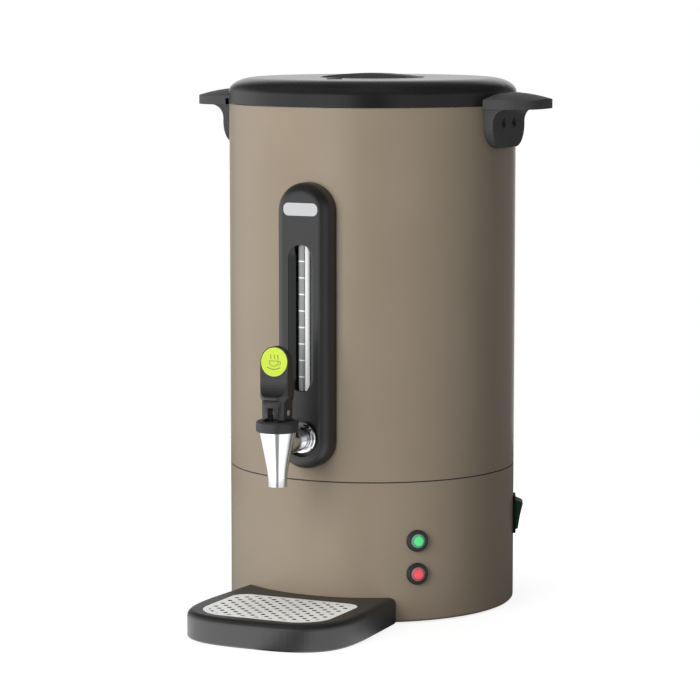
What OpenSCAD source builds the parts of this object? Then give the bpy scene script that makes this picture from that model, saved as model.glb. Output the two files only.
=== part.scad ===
// Double-walled coffee urn with a percolator insert, a self-closing tap, a level gauge and a drip tray.
// Millimetres, +Z up. The origin is on the body's axis at the table, and the tap faces -Y.

/* [Body] */
// Outside diameter of the painted body
body_d = 240; // [225:1:260]
// Sheet thickness of the painted shells
shell_t = 0.8; // [0.6:0.1:1.2]
// Height of the base shell's lower edge above the table
shell_lift = 1; // [0.6:0.2:1.6]
// Height of the seam between base and body
seam_z = 116.7; // [112:0.5:120]
// Width of the dark groove at the seam
seam_gap = 1; // [0.6:0.1:2]
// Height of the painted body's top edge
rim_z = 419.4; // [410:0.2:440]
// Radius of the base shell's bottom hem
hem_r = 2.5; // [2:0.1:4]
// Width of the lip inside the bottom hem
hem_w = 3; // [2:0.5:5]
// Air gap between the painted body and the kettle
wall_gap = 9.4; // [8.5:0.1:11]

/* [Kettle] */
// Sheet thickness of the kettle
kettle_t = 0.8; // [0.6:0.1:1.2]
// Height of the kettle's floor above the seam
kettle_rise = 7.3; // [6:0.5:12]
// Radius where the kettle's floor turns into its wall
kettle_corner = 3; // [2:0.5:14]
// Width of the body's turned-in lip that carries the kettle
lip_w = 7; // [5:0.5:8]

/* [Base] */
// Height of the rubber foot ring
foot_h = 4; // [3:0.5:6]
// Distance of the foot ring's middle from the body's wall
foot_inset = 17; // [16:1:28]
// Width of the foot ring
foot_w = 10; // [6:1:12]
// Thickness of the bottom plate and of the ring it is screwed to
plate_t = 1; // [0.8:0.1:1.5]
// Height of the support ring's upright flange
support_h = 15; // [8:1:25]
// Count of bottom screws
bottom_screw_n = 6; // [4:1:8]
// Count of vent holes in each of the two rows of the bottom plate
vent_n = 18; // [8:1:24]

/* [Lid] */
// How far the lid's rim stands out past the body
lid_over = 0.5; // [0.2:0.1:1]
// Gap between the lid's rim and the body's top edge
lid_gap = 0.3; // [0.2:0.1:1]
// Height of the lid's upright rim
lid_rim_h = 9.3; // [7:0.1:12]
// Height of the lid's rounded shoulder
lid_dome_h = 12; // [10:0.5:18]
// Width of the shoulder, from the rim to the flat top
lid_shoulder_w = 24; // [16:1:40]
// Wall of the lid
lid_wall = 2.5; // [2:0.1:3]
// Radius of the sunk grip dish
dish_r = 44; // [36:1:52]
// Depth of the grip dish
dish_depth = 10.5; // [8:0.5:12]
// Width of the grip bar across the dish
grip_bar_w = 17; // [12:1:22]
// Thickness of the grip bar
grip_bar_t = 6; // [4:0.5:7]
// Thickness of the lid's seal
seal_h = 3.8; // [3:0.1:5]
// Angle that the lid turns to lock
lock_turn = 8; // [6:0.5:9]
// Width of each locking lug
lug_w = 16; // [10:1:18]
// How far a locking lug reaches past the lid's rim
lug_reach = 4.5; // [3:0.1:5]
// Thickness of a locking lug
lug_t = 2.4; // [2:0.1:3]

/* [Handles] */
// Reach of a handle past the body
handle_reach = 36.5; // [28:0.5:42]
// Half of the handle's width at the body
handle_half_w = 36.5; // [32:0.5:40]
// Height of the mounting plate below the rim
handle_drop = 34.5; // [30:0.5:45]
// How far the mounting plate's face stands out past the body
handle_plate_out = 3.5; // [3:0.5:7]
// Radius of the mounting plate's lower corners
handle_corner = 18; // [10:1:24]
// Depth of the grip's underside below the rim
grip_drop = 2.4; // [1.5:0.1:4]
// Height of the grip's crown above the rim
grip_crown = 11; // [9:0.5:14]
// Radius of the grip's domed top
grip_dome_r = 125; // [80:1:160]
// Radius of the fillet under the grip
grip_fillet = 11; // [6:1:14]
// Distance between the two screws of a handle
handle_screw_gap = 22; // [16:1:26]

/* [Gauge panel] */
// Width of the gauge panel
panel_w = 46; // [42:1:52]
// Height of the panel's lower end
panel_z0 = 128; // [124:1:132]
// Height of the panel's upper end
panel_z1 = 360; // [340:1:380]
// How far the panel's face stands out past the body
panel_out = 16.5; // [15.5:0.1:20]
// Fillet round the panel's face
panel_fillet = 9; // [5:0.5:11]
// Wall of the panel
panel_wall = 2.5; // [2:0.1:3]
// Width of the gauge window
window_w = 22.5; // [19:0.5:26]
// Lower end of the gauge window
window_z0 = 191.6; // [186:0.2:200]
// Upper end of the gauge window
window_z1 = 310.5; // [280:0.5:318]
// Outside diameter of the gauge tube
gauge_d = 9; // [8:0.2:9.4]
// Wall of the gauge tube
gauge_wall = 1.5; // [1:0.1:2]
// Width of the blank badge plate
badge_w = 30.4; // [20:0.2:34]
// Height of the blank badge plate
badge_h = 10.5; // [6:0.5:14]
// Middle height of the badge plate
badge_z = 339; // [334:1:346]

/* [Tap] */
// Distance of the tap's upright axis from the body's wall
tap_out = 58.5; // [54:0.5:66]
// Height of the tap's shank
tap_z = 154; // [150:0.5:158]
// Length of the spout below the shank's axis
spout_drop = 33; // [28:0.5:40]
// Height of the tap body above the shank's axis
tap_head = 11; // [10:0.5:13]
// Outside radius of the spout's tip
spout_tip_r = 7.7; // [7:0.1:9]
// Radius of the spout's outlet bore
outlet_r = 5.5; // [4.5:0.1:6]
// Radius of the valve chamber
chamber_r = 8.6; // [8.2:0.1:9]
// Radius of the threaded shank
shank_r = 7.5; // [7:0.1:8.5]
// Radius of the neck in front of the panel
neck_r = 9.5; // [9:0.1:10.5]
// Radius of the shank's bore
shank_bore_r = 5; // [4:0.1:5.5]
// Radius of the bonnet
bonnet_r = 17; // [15.5:0.1:19]
// Height of the bonnet
bonnet_h = 9; // [8:0.1:11]
// Lift of the valve at full pull
valve_lift = 4.5; // [3:0.1:5]
// Angle of the lever at full pull
lever_pull = 42; // [36:1:46]
// Height of the lever's pin above the bonnet
pin_rise = 6.5; // [6:0.1:8]
// Radius of the lever's pin
pin_r = 2.2; // [1.6:0.1:2.3]
// Radius of the valve stem
stem_r = 2.5; // [2:0.1:2.5]
// Height of the lever above its pin
lever_h = 53; // [46:0.5:62]
// Half of the lever's width
lever_half_w = 12.3; // [12.2:0.1:14]
// Diameter of the coloured disc on the lever
lever_disc_d = 23; // [16:0.2:23.6]

/* [Lamps and switch] */
// Angle of the lamps from the front
lamp_az = 42.7; // [36:0.5:60]
// Height of the lower lamp
lamp_low_z = 41; // [36:0.5:46]
// Height of the upper lamp
lamp_high_z = 68.3; // [64:0.5:80]
// Diameter of a lamp's bezel
lamp_d = 18; // [16:0.5:20]
// Diameter of a lamp's lens
lens_d = 11.8; // [10:0.2:12.4]
// Angle of the rocker switch from the front
switch_az = 113; // [100:1:125]
// Middle height of the rocker switch
switch_z = 72; // [60:1:84]
// Width of the switch frame
switch_w = 25; // [24:0.5:28]
// Height of the switch frame
switch_h = 31.5; // [31:0.5:36]
// Tilt of the rocker to each side
rocker_tilt = 11; // [8:0.5:11]
// Middle height of the mains inlet
inlet_z = 40; // [34:1:60]

/* [Drip tray] */
// Half of the tray's width
tray_half_w = 71.5; // [66:0.5:76]
// Reach of the tray in front of the body
tray_reach = 114.5; // [106:0.5:122]
// Height of the tray
tray_h = 22; // [18:0.5:26]
// Fillet round the tray's top edge
tray_fillet = 5; // [3:0.5:7]
// Thickness of the tray's floor
tray_floor = 3; // [2:0.5:5]
// Width of the drip grid
grid_w = 112; // [100:1:116]
// Depth of the drip grid
grid_l = 84; // [74:1:86]
// Sheet thickness of the drip grid
grid_t = 1; // [0.8:0.1:1.5]
// Distance of the grid's rear edge from the body
grid_back = 18; // [17:0.5:24]
// Step between neighbouring rows of grid holes
grid_step = 6.1; // [5.6:0.1:8]
// Diameter of a grid hole
grid_hole_d = 4; // [3:0.1:4.4]

/* [Percolator] */
// Outside diameter of the pump tube
pump_d = 10; // [8:0.5:14]
// Wall of the pump tube
pump_wall = 1; // [0.8:0.1:1.5]
// Depth of the pump tube's top below the rim
pump_drop = 20; // [16:1:40]
// Radius of the pump bell at the tube's foot
bell_r = 34; // [26:1:44]
// Height of the pump bell
bell_h = 18; // [12:1:26]
// Radius of the coffee basket
basket_r = 56; // [46:1:64]
// Height of the coffee basket
basket_h = 62; // [40:1:80]
// Sheet thickness of basket, cover and bell
basket_t = 0.8; // [0.6:0.1:1.2]

/* [Clearances] */
// Clearance of a piece that sits still in its seat
seat_gap = 0.1; // [0.05:0.05:0.2]
// Running clearance of pins and stems
run_gap = 0.05; // [0.02:0.01:0.1]
// Clearance between pieces that move past each other
move_gap = 0.5; // [0.4:0.1:0.8]

/* [Hidden] */
$fn = 96;
past = 1;
cut_reach = 9;

PAINT = "#93866f";
BLACK = "#1e1e1f";
STEEL = "#c4c6c8";
CHROME = "#d9dcde";
RUBBER = "#2a2a2a";
SILICONE = "#d8d4cc";
BRASS = "#c2a45c";

body_r = body_d / 2;
shell_in_r = body_r - shell_t;
kettle_out_r = shell_in_r - wall_gap;
kettle_r = kettle_out_r - kettle_t;
kettle_floor = seam_z + kettle_rise;
flange_z = rim_z + kettle_t;
flange_r = body_r - lid_wall - move_gap + lid_over;

foot_r = body_r - foot_inset;
plate_z = foot_h;
support_z = plate_z + plate_t;
bottom_screw_edge = 5;
bottom_screw_r = foot_r + foot_w / 2 + bottom_screw_edge;
bottom_shank_r = 2;
bottom_head_h = 1.8;
bottom_tail = 4;
foot_bevel = 1;
plate_gap = 1.7;
vent_r = 2.5;
join_below = 9;
join_above = 5;

lid_r = body_r + lid_over;
lid_z0 = rim_z + lid_gap;
dome_z = lid_z0 + lid_rim_h;
lid_top = dome_z + lid_dome_h;
lid_in_r = lid_r - lid_wall;
skirt_r = kettle_r - move_gap;
web_z = flange_z + seal_h;
dish_floor_z = lid_top - dish_depth;
dish_corner = 4;
dish_bevel = 0.6;
lid_bevel = 0.5;
shoulder_steps = 16;
lid_skirt_t = 2;
lid_skirt_up = 8;
lid_skirt_drop = 8;
lid_web_t = 2;
grip_leg = 13;
grip_rise = 3.3;
grip_foot = 4;
grip_sag = 3;
grip_shank_r = 1.5;
grip_head_r = 3;
grip_head_h = 2;
grip_half = sqrt(pow(dish_r - move_gap, 2) - pow(grip_bar_w / 2, 2));
seal_in = 1;
lug_half_angle = lug_w / 2 / lid_r * 180 / PI;
lug_r = lid_r + lug_reach;

handle_tip_r = body_r + handle_reach;
handle_face_r = body_r + handle_plate_out;
grip_z0 = rim_z - grip_drop;
slot_floor = 0.5;
slot_z0 = grip_z0 + slot_floor;
slot_z1 = lid_z0 + lug_t + move_gap;
slot_r = lug_r + move_gap;
handle_z0 = rim_z - handle_drop;
handle_screw_rise = 4;
handle_screw_z = (handle_z0 + grip_z0) / 2 + handle_screw_rise;
handle_shank_r = 2;
handle_head_r = 4;
handle_head_h = 2;
handle_head_sunk = 0.6;
handle_root = 8;
handle_square = 3;
handle_in = 20;
plate_inset = 2.5;
lug_play_angle = 0.8;
lug_gap = 0.3;
slot_open_angle = 30;
strip_t = 1.6;
strip_half_h = 7;
strip_tail = 5;

panel_face = body_r + panel_out;
window_mid = (window_z0 + window_z1) / 2;
gauge_r = gauge_d / 2;
gauge_sunk = 2.5;
gauge_axis = panel_face - gauge_r - gauge_sunk;
trough_gap = 1.5;
trough_floor = gauge_axis - gauge_r - trough_gap;
gauge_cup_wall = 1.2;
gauge_cup_r = gauge_r + gauge_cup_wall;
gauge_cup_h = 6;
gauge_foot = 10;
gauge_head = 9;
gauge_z0 = window_z0 - gauge_foot;
gauge_z1 = window_z1 + gauge_head;
gauge_seal_t = 1.5;
gauge_port_r = 2;
gauge_vent_r = 1.5;
window_collar = panel_wall * 0.8;
panel_in = 6;
panel_back = body_r - panel_in;
panel_boss_r = 4.5;
panel_head_r = 3.5;
panel_head_h = 2;
panel_screw_in = 8.5;
recess_r = 15.5;
recess_depth = 5.5;
recess_floor = panel_face - recess_depth;
badge_corner = badge_h * 0.43;
badge_seat = 0.6;
panel_screw_drop = 14;
panel_screw_z = panel_z1 - panel_w / 2 - panel_screw_drop;
panel_screw_x = panel_w / 4;

tap_axis = body_r + tap_out;
tap_top = tap_z + tap_head;
spout_z0 = tap_z - spout_drop;
seat_drop = 10;
seat_z = tap_z - seat_drop;
bonnet_top = tap_top + bonnet_h;
bonnet_plate_t = 3.8;
bonnet_bevel = 0.8;
bonnet_round = 2;
spigot_wall = 2.9;
spigot_r = chamber_r + spigot_wall;
spigot_h = 5;
pin_z = bonnet_top + pin_rise;
nut_out = 5.5;
nut_end = panel_face + nut_out;
nut_r = 12.8;
nut_bevel = 0.8;
nut_collar = 1;
neck_in = 4;
shank_in = 14;
washer_t = 4;
washer_w = 4;
shank_nut_h = 7;
shank_nut_w = 5;
cup_h = 6;
cup_gap = 1;
stem_collar_t = 1.2;
stem_collar_gap = 1.4;
stem_sunk = 2;
heel_gap = 0.3;
heel = pin_rise - heel_gap;
heel_rate = valve_lift / (lever_pull * PI / 180);
eye_wall = 1.7;
eye_r = pin_r + eye_wall;
fork_gap = 2 * (stem_r + seat_gap);
lever_top = pin_z + lever_h;

lens_r = lens_d / 2;
lens_in = 10;
lens_side = 3.5;
lens_round = 2;
lens_crown = 0.4;
lamp_r = lamp_d / 2;
lamp_sleeve_wall = 0.8;
lamp_sleeve_r = lens_r + lamp_sleeve_wall;
lamp_sleeve_in = 14;
lamp_nut_h = 4;
bezel_side = 1.6;
bezel_dip = 0.4;
bezel_round = 0.7 * (lamp_r - lens_r);
switch_rim = 1.7;
switch_wall = 1;
switch_depth = 26;
switch_well = 16;
switch_face = 1.8;
switch_lip = 2;
switch_corner = 2.5;
switch_tab_step = 9;
switch_box_w = switch_w - 2 * switch_rim;
switch_box_h = switch_h - 2 * switch_rim;
switch_in_w = switch_box_w - 2 * switch_wall;
switch_in_h = switch_box_h - 2 * switch_wall;
rocker_gap = 0.3;
rocker_r = switch_in_h / 2 - rocker_gap;
rocker_sunk = 0.5;
rocker_axis = body_r - rocker_sunk;
rocker_lift = 6.5;
rocker_dip = 0.4;
rocker_skirt = 14;
rocker_foot = [5, 6];
axle_r = 1.6;
axle_out = 0.6;
inlet_w = 24.4;
inlet_h = 16.8;
inlet_frame = 9;
inlet_depth = 17;
inlet_wall = 2;
inlet_floor = 3;
inlet_face = 2.5;
inlet_corner = 3;
inlet_bevel = 7;
blade_w = 2;
blade_h = 4;
blade_tab = 11;
blade_short = 2;

tray_wide_out = 45;
tray_wide = body_r + tray_wide_out;
tray_square = 3.2;
tray_taper = 5.5;
tray_bevel = 1.2;
grid_ledge = 2.5;
grid_border = 5;
grid_front_r = 28;
grid_back_r = 13;
tray_front = body_r + tray_reach;
grid_y1 = -(body_r + grid_back);
grid_y0 = grid_y1 - grid_l;
grid_z = tray_h - grid_t;

pump_stand = 7;
pump_collar = 3;
bell_lip = 3;
bell_notch_r = 2;
bell_notches = 8;
sieve_hole_r = 1.2;
sieve_step = 8;
sieve_edge = 6;
cover_step = 10;
cover_edge = 8;
cover_over = 2;
cover_rim_h = 5;
basket_hub_h = 12;
basket_z1 = rim_z - pump_drop - pump_stand;
basket_z0 = basket_z1 - basket_h;
pump_r = pump_d / 2;
pump_top = rim_z - pump_drop;

// Points along an arc
function arc(cx, cy, r, a0, a1, n) =
  [for (i = [0:n]) let (a = a0 + (a1 - a0) * i / n) [cx + r * cos(a), cy + r * sin(a)]];

// Points of a superellipse of half axes a and b between two angles
function squircle(a, b, n, t0, t1, count) =
  [for (i = [0:count]) let (t = t0 + (t1 - t0) * i / count, c = cos(t), s = sin(t))
    [a * sign(c) * pow(abs(c), 2 / n), b * sign(s) * pow(abs(s), 2 / n)]];

// Same points, moved
function moved(points, by) = [for (p = points) p + by];

// Same points, in reverse order
function reversed(points) = [for (i = [len(points) - 1:-1:0]) points[i]];

function unit(v) = v / norm(v);

function tangent(path, i) = unit(path[min(i + 1, len(path) - 1)] - path[max(i - 1, 0)]);

// Closed skin over a stack of rings, each with the same count of points
module skin(rings) {
  sides = len(rings[0]);
  walls = [for (i = [0:len(rings) - 2], j = [0:sides - 1])
    let (a = i * sides + j, b = i * sides + (j + 1) % sides)
    each [[a, b + sides, b], [a, a + sides, b + sides]]];
  last = (len(rings) - 1) * sides;
  caps = [for (j = [1:sides - 2]) each [[0, j, j + 1], [last, last + j + 1, last + j]]];
  polyhedron([for (ring = rings) each ring], concat(walls, caps));
}

// Round tube swept along a path, with its rings turned square to it
module sweep(path, r, sides, ref) {
  skin([for (i = [0:len(path) - 1])
    let (t = tangent(path, i), u = unit(cross(t, ref)), v = cross(t, u))
    [for (j = [0:sides - 1]) path[i] + r * (cos(360 * j / sides) * u + sin(360 * j / sides) * v)]]);
}

// Puts a piece on the wall: x runs along the wall, y up, and z is the distance from the body's axis
module on_wall(az, z) {
  rotate([0, 0, az]) translate([0, 0, z]) rotate([90, 0, 0]) children();
}

module tube(ro, ri, z0, z1) {
  translate([0, 0, z0]) difference() {
    cylinder(r = ro, h = z1 - z0);
    translate([0, 0, -past]) cylinder(r = ri, h = z1 - z0 + 2 * past);
  }
}

module rod(r, z0, z1) {
  translate([0, 0, z0]) cylinder(r = r, h = z1 - z0);
}

module rounded_rect(w, h, r) {
  square([w - 2 * r, h], center = true);
  square([w, h - 2 * r], center = true);
  for (x = [-1, 1], y = [-1, 1]) translate([x * (w / 2 - r), y * (h / 2 - r)]) circle(r);
}

module stadium(w, h) {
  square([w, h - w], center = true);
  for (y = [-1, 1]) translate([0, y * (h - w) / 2]) circle(w / 2);
}

module body_bore(r) {
  translate([0, 0, -past]) cylinder(r = r, h = rim_z + 2 * past);
}

module handle_screw_places() {
  for (side = [0, 180], y = [-1, 1])
    rotate([0, 0, side]) translate([0, y * handle_screw_gap / 2, handle_screw_z]) rotate([0, 90, 0]) children();
}

module base_shell() {
  color(PAINT) difference() {
    rotate_extrude() polygon(concat(
      [[shell_in_r, seam_z - seam_gap / 2], [body_r, seam_z - seam_gap / 2]],
      arc(body_r - hem_r, shell_lift + hem_r, hem_r, 0, -90, 6),
      [[body_r - hem_r - hem_w, shell_lift], [body_r - hem_r - hem_w, shell_lift + shell_t]],
      arc(body_r - hem_r, shell_lift + hem_r, hem_r - shell_t, -90, 0, 6)));
    for (z = [lamp_low_z, lamp_high_z])
      on_wall(lamp_az, z) rod(lamp_sleeve_r + seat_gap, kettle_r, body_r + cut_reach);
    on_wall(switch_az, switch_z) translate([0, 0, kettle_r]) linear_extrude(2 * cut_reach)
      square([switch_box_w + 2 * seat_gap, switch_box_h + 2 * seat_gap], center = true);
    on_wall(180, inlet_z) translate([0, 0, kettle_r]) linear_extrude(2 * cut_reach)
      square([inlet_w + 2 * (inlet_wall + seat_gap), inlet_h + 2 * (inlet_wall + seat_gap)], center = true);
  }
}

module outer_shell() {
  color(PAINT) difference() {
    rotate_extrude() polygon([
      [shell_in_r, seam_z + seam_gap / 2], [body_r, seam_z + seam_gap / 2],
      [body_r, rim_z], [body_r - lip_w, rim_z],
      [body_r - lip_w, rim_z - shell_t], [shell_in_r, rim_z - shell_t]]);
    on_wall(0, tap_z) rod(shank_r + seat_gap, kettle_r, body_r + cut_reach);
    for (x = [-1, 1]) translate([x * panel_screw_x, 0, 0]) on_wall(0, panel_screw_z)
      rod(handle_shank_r + seat_gap, kettle_r, body_r + cut_reach);
    handle_screw_places() rod(handle_shank_r + seat_gap, kettle_r, body_r + cut_reach);
  }
}

module joining_ring() {
  ring_r = shell_in_r - seat_gap;
  color(BLACK) tube(ring_r, ring_r - shell_t, seam_z - join_below, seam_z + join_above);
}

module support_ring() {
  color(STEEL) difference() {
    union() {
      tube(shell_in_r - seat_gap, foot_r, support_z, support_z + plate_t);
      tube(shell_in_r - seat_gap, shell_in_r - seat_gap - plate_t, support_z, support_z + support_h);
    }
    bottom_screw_places() rod(bottom_shank_r + seat_gap, 0, support_z + support_h);
  }
}

module bottom_screw_places() {
  for (i = [0:bottom_screw_n - 1])
    rotate([0, 0, 360 * (i + 0.5) / bottom_screw_n]) translate([bottom_screw_r, 0, 0]) children();
}

module bottom_plate() {
  vent_rows = [foot_r * 0.45, foot_r * 0.7];
  color(STEEL) difference() {
    rod(shell_in_r - plate_gap, plate_z, plate_z + plate_t);
    bottom_screw_places() rod(bottom_shank_r + seat_gap, 0, support_z + past);
    for (r = vent_rows, i = [0:vent_n - 1])
      rotate([0, 0, 360 * i / vent_n]) translate([r, 0, 0]) rod(vent_r, 0, support_z + past);
  }
}

module bottom_screws() {
  color(STEEL) bottom_screw_places() {
    rod(1.5 * bottom_shank_r, plate_z - bottom_head_h, plate_z);
    rod(bottom_shank_r, plate_z - past, support_z + plate_t + bottom_tail);
  }
}

module foot_ring() {
  color(RUBBER) rotate_extrude() translate([foot_r, 0]) polygon([
    [foot_bevel - foot_w / 2, 0], [foot_w / 2 - foot_bevel, 0], [foot_w / 2, foot_bevel],
    [foot_w / 2, foot_h], [-foot_w / 2, foot_h], [-foot_w / 2, foot_bevel]]);
}

module kettle() {
  corner = [kettle_r - kettle_corner, kettle_floor + kettle_corner];
  color(STEEL) difference() {
    rotate_extrude() polygon(concat(
      [[0, kettle_floor]],
      arc(corner.x, corner.y, kettle_corner, -90, 0, 8),
      [[kettle_r, flange_z], [flange_r, flange_z], [flange_r, rim_z], [kettle_out_r, rim_z]],
      arc(corner.x, corner.y, kettle_corner + kettle_t, 0, -90, 8),
      [[0, kettle_floor - kettle_t]]));
    on_wall(0, tap_z) rod(shank_r + seat_gap, kettle_r - cut_reach, body_r);
  }
}

heat_plate_r = 70;
heat_plate_t = 6;
heat_plate_z0 = kettle_floor - kettle_t - heat_plate_t;
element_r = 4;
element_ring_r = 50;
element_sweep = 290;
element_end_a = element_sweep / 2 - 5;
element_leg_r = element_r * 0.75;
element_leg = 8;
element_z = heat_plate_z0 - element_r - seat_gap;
pin_length = 18;
snap_r = 8.5;
snap_h = 9;
snap_x = 22;
snap_flange_t = 1.5;
snap_flange_w = 2;
tab_w = 6;
tab_t = 0.8;
tab_l = 7;
tab_y = 4;
snap_z0 = heat_plate_z0 - snap_h;

module heat_plate() {
  color("#b9bcc0") rod(heat_plate_r, heat_plate_z0, heat_plate_z0 + heat_plate_t);
}

module element_end_places() {
  for (a = [-1, 1]) rotate([0, 0, a * element_end_a]) translate([0, element_ring_r, 0]) children();
}

module heating_element() {
  color("#6f675e") {
    translate([0, 0, element_z]) rotate([0, 0, 90 - element_sweep / 2])
      rotate_extrude(angle = element_sweep) translate([element_ring_r, 0]) circle(element_r);
    element_end_places() rod(element_leg_r, element_z - element_leg, element_z);
    element_end_places() rod(element_leg_r / 2, element_z - pin_length, element_z - element_leg + past);
  }
}

module snap_switch(x) {
  color(BLACK) translate([x, 0, 0]) {
    rod(snap_r, snap_z0, heat_plate_z0 - snap_flange_t);
    rod(snap_r + snap_flange_w, heat_plate_z0 - snap_flange_t, heat_plate_z0);
    for (y = [-1, 1]) translate([-tab_w / 2, y * tab_y - tab_t / 2, snap_z0 - tab_l])
      cube([tab_w, tab_t, tab_l + past]);
  }
}

module thermostat() { snap_switch(snap_x); }
module thermal_cutout() { snap_switch(-snap_x); }

block_x = 0;
block_y = 46;
block_w = 48;
block_d = 18;
block_h = 15;
block_pitch = 15;
block_screw_r = 3;
block_screw_deep = 8;
block_hole_r = 2.4;
block_hole_rise = 5;

module terminal_block() {
  color("#e6e0d2") translate([block_x, block_y, support_z]) difference() {
    translate([-block_w / 2, -block_d / 2, 0]) cube([block_w, block_d, block_h]);
    for (i = [-1:1]) translate([i * block_pitch, 0, block_h - block_screw_deep])
      cylinder(r = block_screw_r, h = block_screw_deep + past);
    for (i = [-1:1]) translate([i * block_pitch, 0, block_hole_rise]) rotate([90, 0, 0])
      cylinder(r = block_hole_r, h = block_d + 2 * past, center = true);
  }
}

lead_r = 1.6;
lead_gap = 0.3;
lead_ref = [0.37, 0.21, 0.9];
block_hole_z = support_z + block_hole_rise;
inlet_tab_y = body_r - inlet_depth - blade_tab;
element_end = [element_ring_r * sin(element_end_a), element_ring_r * cos(element_end_a)];

// Insulated leads: inlet to block, block to element, and the switch's and thermostats' loop
lead_paths = [
  [[-7, inlet_tab_y - lead_gap, inlet_z - 2], [-7, inlet_tab_y - 6, inlet_z - 2], [-12, 72, 22],
    [-block_pitch, 62, block_hole_z], [-block_pitch, block_y + 2, block_hole_z]],
  [[7, inlet_tab_y - lead_gap, inlet_z - 2], [7, inlet_tab_y - 6, inlet_z - 2], [12, 72, 22],
    [block_pitch, 62, block_hole_z], [block_pitch, block_y + 2, block_hole_z]],
  [[0, inlet_tab_y - lead_gap, inlet_z + 2], [0, inlet_tab_y - 6, inlet_z + 2], [0, 70, 22],
    [0, 62, block_hole_z], [0, block_y + 2, block_hole_z]],
  [[-block_pitch, block_y - 2, block_hole_z], [-block_pitch, 24, block_hole_z + 2], [-24, -8, 30],
    [-element_end.x - 3, element_end.y + 6, 70],
    [-element_end.x, element_end.y, element_z - pin_length - 12],
    [-element_end.x, element_end.y, element_z - pin_length - lead_gap]],
  [[block_pitch, block_y - 2, block_hole_z], [block_pitch, 24, block_hole_z + 2], [30, 8, 30],
    [snap_x + 6, 4, 74], [snap_x, tab_y, snap_z0 - 16], [snap_x, tab_y, snap_z0 - tab_l - lead_gap]],
  [[snap_x, -tab_y, snap_z0 - tab_l - lead_gap], [snap_x - 2, -5, snap_z0 - 16], [0, -9, snap_z0 - 24],
    [2 - snap_x, -5, snap_z0 - 16], [-snap_x, -tab_y, snap_z0 - tab_l - lead_gap]]];

module wiring() {
  color("#c8c2b4") for (path = lead_paths) sweep(path, lead_r, 8, lead_ref);
}

module mains_inlet() {
  color(BLACK) on_wall(180, inlet_z) difference() {
    union() {
      intersection() {
        translate([0, 0, shell_in_r - past]) linear_extrude(body_r + inlet_face - shell_in_r + past)
          rounded_rect(inlet_w + inlet_frame, inlet_h + inlet_frame, inlet_corner);
        difference() {
          cube(3 * body_r, center = true);
          rotate([90, 0, 0]) cylinder(r = body_r + seat_gap, h = 3 * inlet_h, center = true);
        }
      }
      translate([0, 0, body_r - inlet_depth - inlet_floor]) linear_extrude(inlet_depth + inlet_floor + past)
        square([inlet_w + 2 * inlet_wall, inlet_h + 2 * inlet_wall], center = true);
    }
    translate([0, 0, body_r - inlet_depth]) linear_extrude(inlet_depth + cut_reach) difference() {
      rounded_rect(inlet_w, inlet_h, inlet_corner / 2);
      for (x = [-1, 1]) translate([x * inlet_w / 2, inlet_h / 2]) rotate(45) square(inlet_bevel, center = true);
    }
    for (p = inlet_pin_places)
      translate([p.x, p.y, body_r - inlet_depth - cut_reach]) linear_extrude(2 * cut_reach)
        square([blade_w + 2 * run_gap, blade_h + 2 * run_gap], center = true);
  }
}

inlet_pin_places = [[-7, -2], [7, -2], [0, 2]];

module inlet_pins() {
  color(BRASS) on_wall(180, inlet_z) for (p = inlet_pin_places)
    translate([p.x, p.y, body_r - inlet_depth - blade_tab])
      linear_extrude(blade_tab + inlet_depth - blade_short) square([blade_w, blade_h], center = true);
}

module lamp_bezel(z) {
  color(BLACK) on_wall(lamp_az, z) difference() {
    rotate_extrude() polygon(concat(
      [[lens_r + seat_gap, body_r - lamp_sleeve_in], [lamp_sleeve_r, body_r - lamp_sleeve_in],
        [lamp_sleeve_r, body_r - past], [lamp_r, body_r - past]],
      arc(lamp_r - bezel_round, body_r + bezel_side, bezel_round, 0, 90, 5),
      [[lens_r + seat_gap, body_r + bezel_side + bezel_round - bezel_dip]]));
    difference() {
      rotate([90, 0, 0]) cylinder(r = body_r + seat_gap, h = 3 * lamp_d, center = true);
      rod(lamp_sleeve_r, 0, 2 * body_r);
    }
  }
}

module lamp_lens(z, tint) {
  color(tint) on_wall(lamp_az, z) rotate_extrude() polygon(concat(
    [[0, body_r - lens_in], [lens_r, body_r - lens_in]],
    arc(lens_r - lens_round, body_r + lens_side, lens_round, 0, 90, 6),
    [[0, body_r + lens_side + lens_round + lens_crown]]));
}

module green_lamp_bezel() { lamp_bezel(lamp_high_z); }
module red_lamp_bezel() { lamp_bezel(lamp_low_z); }
module green_lamp_lens() { lamp_lens(lamp_high_z, "#4fe58a"); }
module red_lamp_lens() { lamp_lens(lamp_low_z, "#f04a5a"); }

module lamp_nuts() {
  nut_face = sqrt(pow(shell_in_r, 2) - pow(lamp_r, 2)) - seat_gap;
  color(BLACK) for (z = [lamp_low_z, lamp_high_z])
    on_wall(lamp_az, z) tube(lamp_r, lamp_sleeve_r + seat_gap, nut_face - lamp_nut_h, nut_face);
}

module switch_frame() {
  color(BLACK) on_wall(switch_az, switch_z) difference() {
    union() {
      difference() {
        translate([0, 0, kettle_r]) linear_extrude(body_r + switch_face - kettle_r)
          rounded_rect(switch_w, switch_h, switch_corner);
        rotate([90, 0, 0]) cylinder(r = body_r + seat_gap, h = 3 * switch_h, center = true);
      }
      translate([0, 0, body_r - switch_depth]) linear_extrude(switch_depth + switch_lip)
        square([switch_box_w, switch_box_h], center = true);
      for (i = [-1:1]) translate([-tab_w / 2, i * switch_tab_step - tab_t / 2, body_r - switch_depth - tab_l])
        cube([tab_w, tab_t, tab_l + past]);
    }
    translate([0, 0, body_r - switch_well]) linear_extrude(2 * switch_well)
      square([switch_in_w, switch_in_h], center = true);
    translate([0, 0, rocker_axis]) rotate([0, 90, 0])
      cylinder(r = axle_r + run_gap, h = switch_in_w + 2 * (axle_out + seat_gap), center = true);
  }
}

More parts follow.
